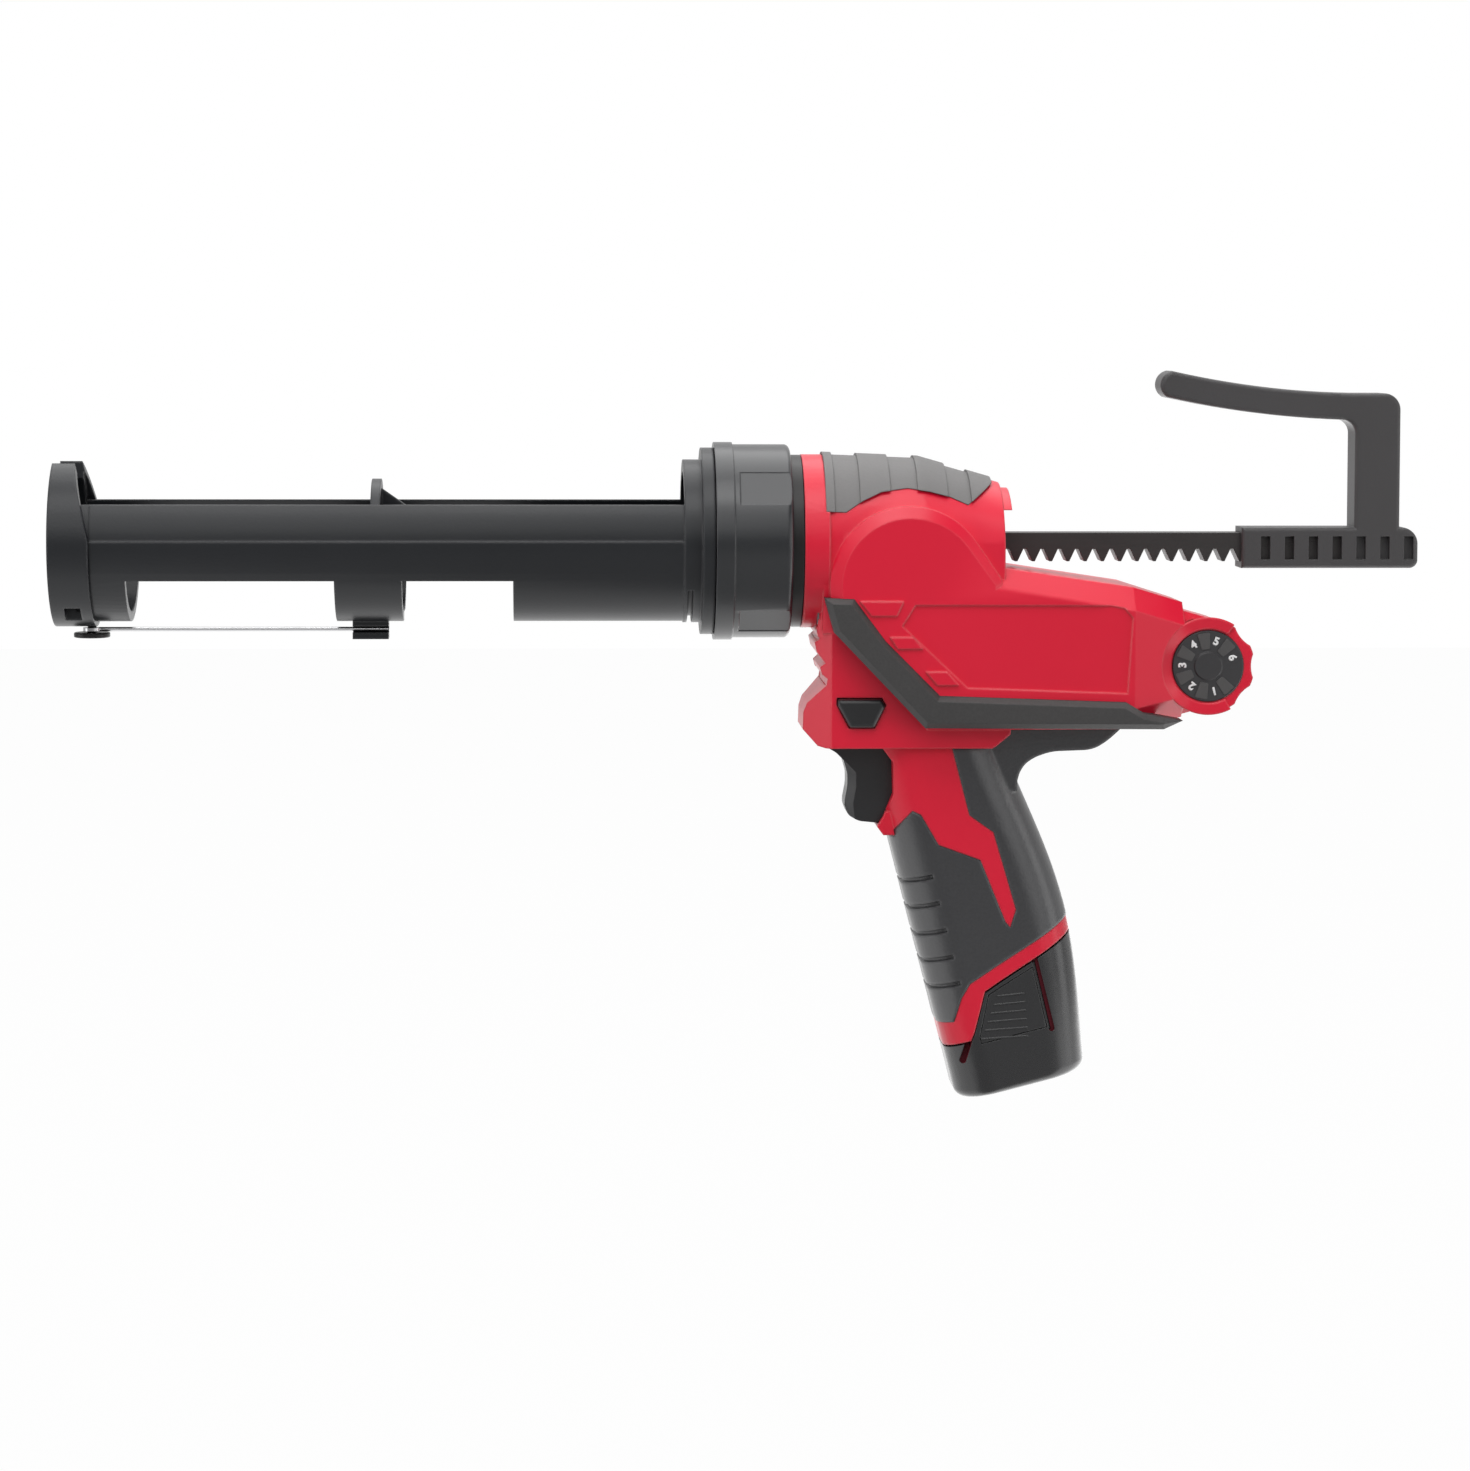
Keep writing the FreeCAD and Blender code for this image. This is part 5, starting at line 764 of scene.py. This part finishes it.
def makeChinWall():
    work = bmesh.new()
    addBlock(work, chinSet["front"] + chinSet["back"], -chinSet["half"], chinSet["half"])
    finishShell(work, "chin_wall", chinSet["edge"])


# Socket-head screws: four in the right half of the housing, one in the plunger
screwSets = dict(
    housing_screws=dict(
        places=[(0.1008, 0.0250, 0.0124), (0.1246, 0.0268, -0.0204), (0.0710, 0.0200, -0.0684),
                (0.0430, 0.0140, -0.0643)],
        reach=0.012, axis="Y", head=0.0030, rise=0.0024, socket=0.0016, depth=0.0014, shank=0.0015,
        finish=rodSteel),
    plunger_screw=dict(
        places=[(-0.1190, 0.0, 0.0)],
        reach=0.0034, axis="-X", head=0.0055, rise=0.0030, socket=0.0029, depth=0.0020, shank=0.0030,
        finish=brightSteel),
)
screwTurns = {"Y": (-quarterTurn, 0, 0), "-X": (0, -quarterTurn, 0)}
screwSides = dict(head=32, socket=6, shank=20)


def screwGroup():
    tree = newGroup("socketScrew", {
        "Head": "Float", "Rise": "Float", "Socket": "Float", "Depth": "Float", "Shank": "Float",
        "Turn": "Rotation", "Finish": "Material"})
    rise = taken(tree, "Rise")
    head = tree.node("GeometryNodeMeshCylinder", None, {
        "Vertices": screwSides["head"], "Radius": taken(tree, "Head"), "Depth": rise})
    head = tree.node("GeometryNodeTransform", None, {
        "Geometry": head, "Translation": tree.node("ShaderNodeCombineXYZ", None, {"Z": rise * 0.5})})
    # the socket's block stands half out of the head
    socket = tree.node("GeometryNodeMeshCylinder", None, {
        "Vertices": screwSides["socket"], "Radius": taken(tree, "Socket"),
        "Depth": taken(tree, "Depth") * 2.0})
    socket = tree.node("GeometryNodeTransform", None, {
        "Geometry": socket, "Translation": tree.node("ShaderNodeCombineXYZ", None, {"Z": rise})})
    head = tree.node("GeometryNodeMeshBoolean", {"operation": "DIFFERENCE"}, {0: head, 1: socket})
    # the shank is one unit long, and takes each point's own reach
    shank = tree.node("GeometryNodeMeshCylinder", None, {
        "Vertices": screwSides["shank"], "Radius": taken(tree, "Shank"), "Depth": 1.0})
    shank = tree.node("GeometryNodeTransform", None, {"Geometry": shank, "Translation": (0, 0, -0.5)})
    points = taken(tree, "Geometry")
    reach = tree.node("GeometryNodeInputNamedAttribute", {"data_type": "FLOAT"}, {"Name": "reach"})
    heads = tree.node("GeometryNodeInstanceOnPoints", None, {
        "Points": points, "Instance": head, "Rotation": taken(tree, "Turn")})
    shanks = tree.node("GeometryNodeInstanceOnPoints", None, {
        "Points": points, "Instance": shank, "Rotation": taken(tree, "Turn"),
        "Scale": tree.node("ShaderNodeCombineXYZ", None, {"X": 1.0, "Y": 1.0, "Z": reach})})
    return closeGroup(tree, tree.node("GeometryNodeJoinGeometry", None, {"Geometry": [heads, shanks]}))


def makeScrews():
    group = screwGroup()
    for name, screw in screwSets.items():
        mesh = bpy.data.meshes.new(name)
        mesh.from_pydata(screw["places"], [], [])
        # the housing's screws all end equally far past the middle plane
        lengths = mesh.attributes.new("reach", "FLOAT", "POINT")
        for index, place in enumerate(screw["places"]):
            lengths.data[index].value = screw["reach"] + place[1]
        screws = grown(name + "_drawn", group, {
            "Head": screw["head"], "Rise": screw["rise"], "Socket": screw["socket"], "Depth": screw["depth"],
            "Shank": screw["shank"], "Turn": screwTurns[screw["axis"]], "Finish": screw["finish"]}, mesh)
        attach(screws, bodyOf[name])
        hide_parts(name)


makeRibs()
makePetals()
makeNumbers()
makeCowl()
makeChinWall()
makeScrews()
print("ribs, dial, hood, chin wall and screws made")


# Floor, light and camera
floorSet = dict(
    size=6.0, below=0.080, tone=(0.36, 0.36, 0.36), grain=900, fleck=1.04, glow=0.98, handle=0.105,
    mirrorFront=0.15, mirrorSide=1.0, fanFrom=0.7, fanTo=1.4, nearest=0.001, fadeFrom=0.6, fadeTo=1.1,
    leftGlow=1.4, rightGlow=2.7, glowTurn=0.1)
pathKinds = ("Is Camera Ray", "Is Glossy Ray", "Is Transmission Ray")


# White to the camera. Gloss sees it dim in front of the handle and white to its sides, most on the right
def paleFloor():
    material, tree = newFinish("paleFloor")
    camera, gloss, through = [tree.node("ShaderNodeLightPath", out=kind) for kind in pathKinds]
    place = tree.node("ShaderNodeTexCoord", out="Object")
    along = tree.node("ShaderNodeSeparateXYZ", None, {0: place}, out="X") - floorSet["handle"]
    aside = tree.node("ShaderNodeMath", {"operation": "ABSOLUTE"}, {0: along})
    ahead = tree.node("ShaderNodeMath", {"operation": "MAXIMUM"}, {
        0: tree.node("ShaderNodeSeparateXYZ", None, {0: place}, out="Y") * -1.0, 1: floorSet["nearest"]})
    fan = tree.node("ShaderNodeMapRange", {"interpolation_type": "SMOOTHSTEP"}, {
        "Value": tree.node("ShaderNodeMath", {"operation": "DIVIDE"}, {0: aside, 1: ahead}),
        "From Min": floorSet["fanFrom"], "From Max": floorSet["fanTo"],
        "To Min": floorSet["mirrorFront"], "To Max": floorSet["mirrorSide"]})
    fade = tree.node("ShaderNodeMapRange", {"interpolation_type": "SMOOTHSTEP"}, {
        "Value": aside, "From Min": floorSet["fadeFrom"], "From Max": floorSet["fadeTo"],
        "To Min": 1.0, "To Max": floorSet["mirrorFront"]})
    glow = tree.node("ShaderNodeMapRange", None, {
        "Value": along, "From Min": -floorSet["glowTurn"], "From Max": floorSet["glowTurn"],
        "To Min": floorSet["leftGlow"], "To Max": floorSet["rightGlow"]})
    seen = camera + gloss * (fan * fade) + through
    pale = [shade * floorSet["fleck"] for shade in floorSet["tone"]]
    tone = blend(tree, noise(tree, floorSet["grain"]), rgba(floorSet["tone"]), rgba(pale))
    plain = tree.node("ShaderNodeBsdfDiffuse", None, {"Color": tone})
    white = tree.node("ShaderNodeEmission", None, {
        "Color": (1, 1, 1, 1), "Strength": 1.0 + gloss * (glow - 1.0)})
    mixed = tree.node("ShaderNodeMixShader", None, {0: seen * floorSet["glow"], 1: plain, 2: white})
    tree.node("ShaderNodeOutputMaterial", None, {"Surface": mixed})
    return material


def makeFloor():
    half = floorSet["size"] / 2
    level = cadBox[0][2] - floorSet["below"]  # leaves room to draw the battery out
    mesh = bpy.data.meshes.new("floor")
    mesh.from_pydata([(-half, -half, level), (half, -half, level), (half, half, level), (-half, half, level)],
                     [], [(0, 1, 2, 3)])
    mesh.materials.append(paleFloor())
    newPiece("floor", mesh)


worldSet = dict(tone=(1.0, 1.0, 1.0), strength=0.2, mirrorFront=0.02, mirrorBack=0.9, turnOver=0.25)


def makeWorld():
    scene.world = bpy.data.worlds.new("studio")
    scene.world.use_nodes = True
    tree = NodeTree(scene.world.node_tree)
    camera, gloss, through = [tree.node("ShaderNodeLightPath", out=kind) for kind in pathKinds]
    # gloss sees the white sweep behind the tool and a dimmer room in front of it
    place = tree.node("ShaderNodeTexCoord", out="Generated")
    depth = tree.node("ShaderNodeSeparateXYZ", None, {0: place}, out="Y")
    sweep = tree.node("ShaderNodeMapRange", {"clamp": True}, {
        "Value": depth, "From Min": -worldSet["turnOver"], "From Max": worldSet["turnOver"],
        "To Min": worldSet["mirrorFront"], "To Max": worldSet["mirrorBack"]})
    seen = camera + gloss * sweep + through
    back = tree.node("ShaderNodeBackground", None, {
        "Color": rgba(worldSet["tone"]),
        "Strength": worldSet["strength"] + seen * (1 - worldSet["strength"])})
    tree.node("ShaderNodeOutputWorld", None, {"Surface": back})


lampSet = dict(
    key=dict(place=(-0.45, -1.25, 0.95), aim=(0.0, 0.0, -0.05), wide=1.5, tall=1.5, power=12.5),
    crown=dict(place=(0.05, -0.62, 1.20), aim=(0.0, 0.0, -0.02), wide=1.0, tall=0.7, power=7.2),
    fill=dict(place=(1.0, -1.1, 0.25), aim=(0.08, 0.0, -0.1), wide=0.9, tall=0.9, power=3),
    top=dict(place=(0.0, 0.45, 1.25), aim=(0.0, 0.0, -0.02), wide=1.4, tall=1.4, power=13),
    leftStrip=dict(place=(-1.3, -0.30, 0.0), aim=(0.05, 0.0, -0.05), wide=0.5, tall=1.0, power=4),
    rightStrip=dict(place=(1.35, -0.30, 0.0), aim=(0.05, 0.0, -0.05), wide=0.5, tall=1.0, power=3),
)


def makeLamps():
    for name, lamp in lampSet.items():
        light = bpy.data.lights.new(name, "AREA")
        light.energy = lamp["power"]
        light.shape = "RECTANGLE"
        light.size = lamp["wide"]
        light.size_y = lamp["tall"]
        made = newPiece(name, light)
        made.location = lamp["place"]
        beam = Vector(lamp["aim"]) - Vector(lamp["place"])
        made.rotation_euler = beam.to_track_quat("-Z", "Y").to_euler()


# View of the left side, from a little above it and towards the nozzle end
cameraSet = dict(
    place=(-0.0553, -1.45, 0.0782), turn=(86.655, -0.102, -2.025), lens=98.16, sensor=36.0,
    shiftX=0.03, shiftY=-0.12, nearest=0.01)


def makeCamera():
    view = bpy.data.cameras.new("camera")
    view.lens = cameraSet["lens"]
    view.sensor_width = cameraSet["sensor"]
    view.shift_x = cameraSet["shiftX"]
    view.shift_y = cameraSet["shiftY"]
    view.clip_start = cameraSet["nearest"]
    made = newPiece("camera", view)
    made.location = cameraSet["place"]
    made.rotation_euler = [math.radians(angle) for angle in cameraSet["turn"]]
    scene.camera = made


makeFloor()
makeWorld()
makeLamps()
makeCamera()
scene.view_settings.view_transform = "Standard"
print("studio ready")
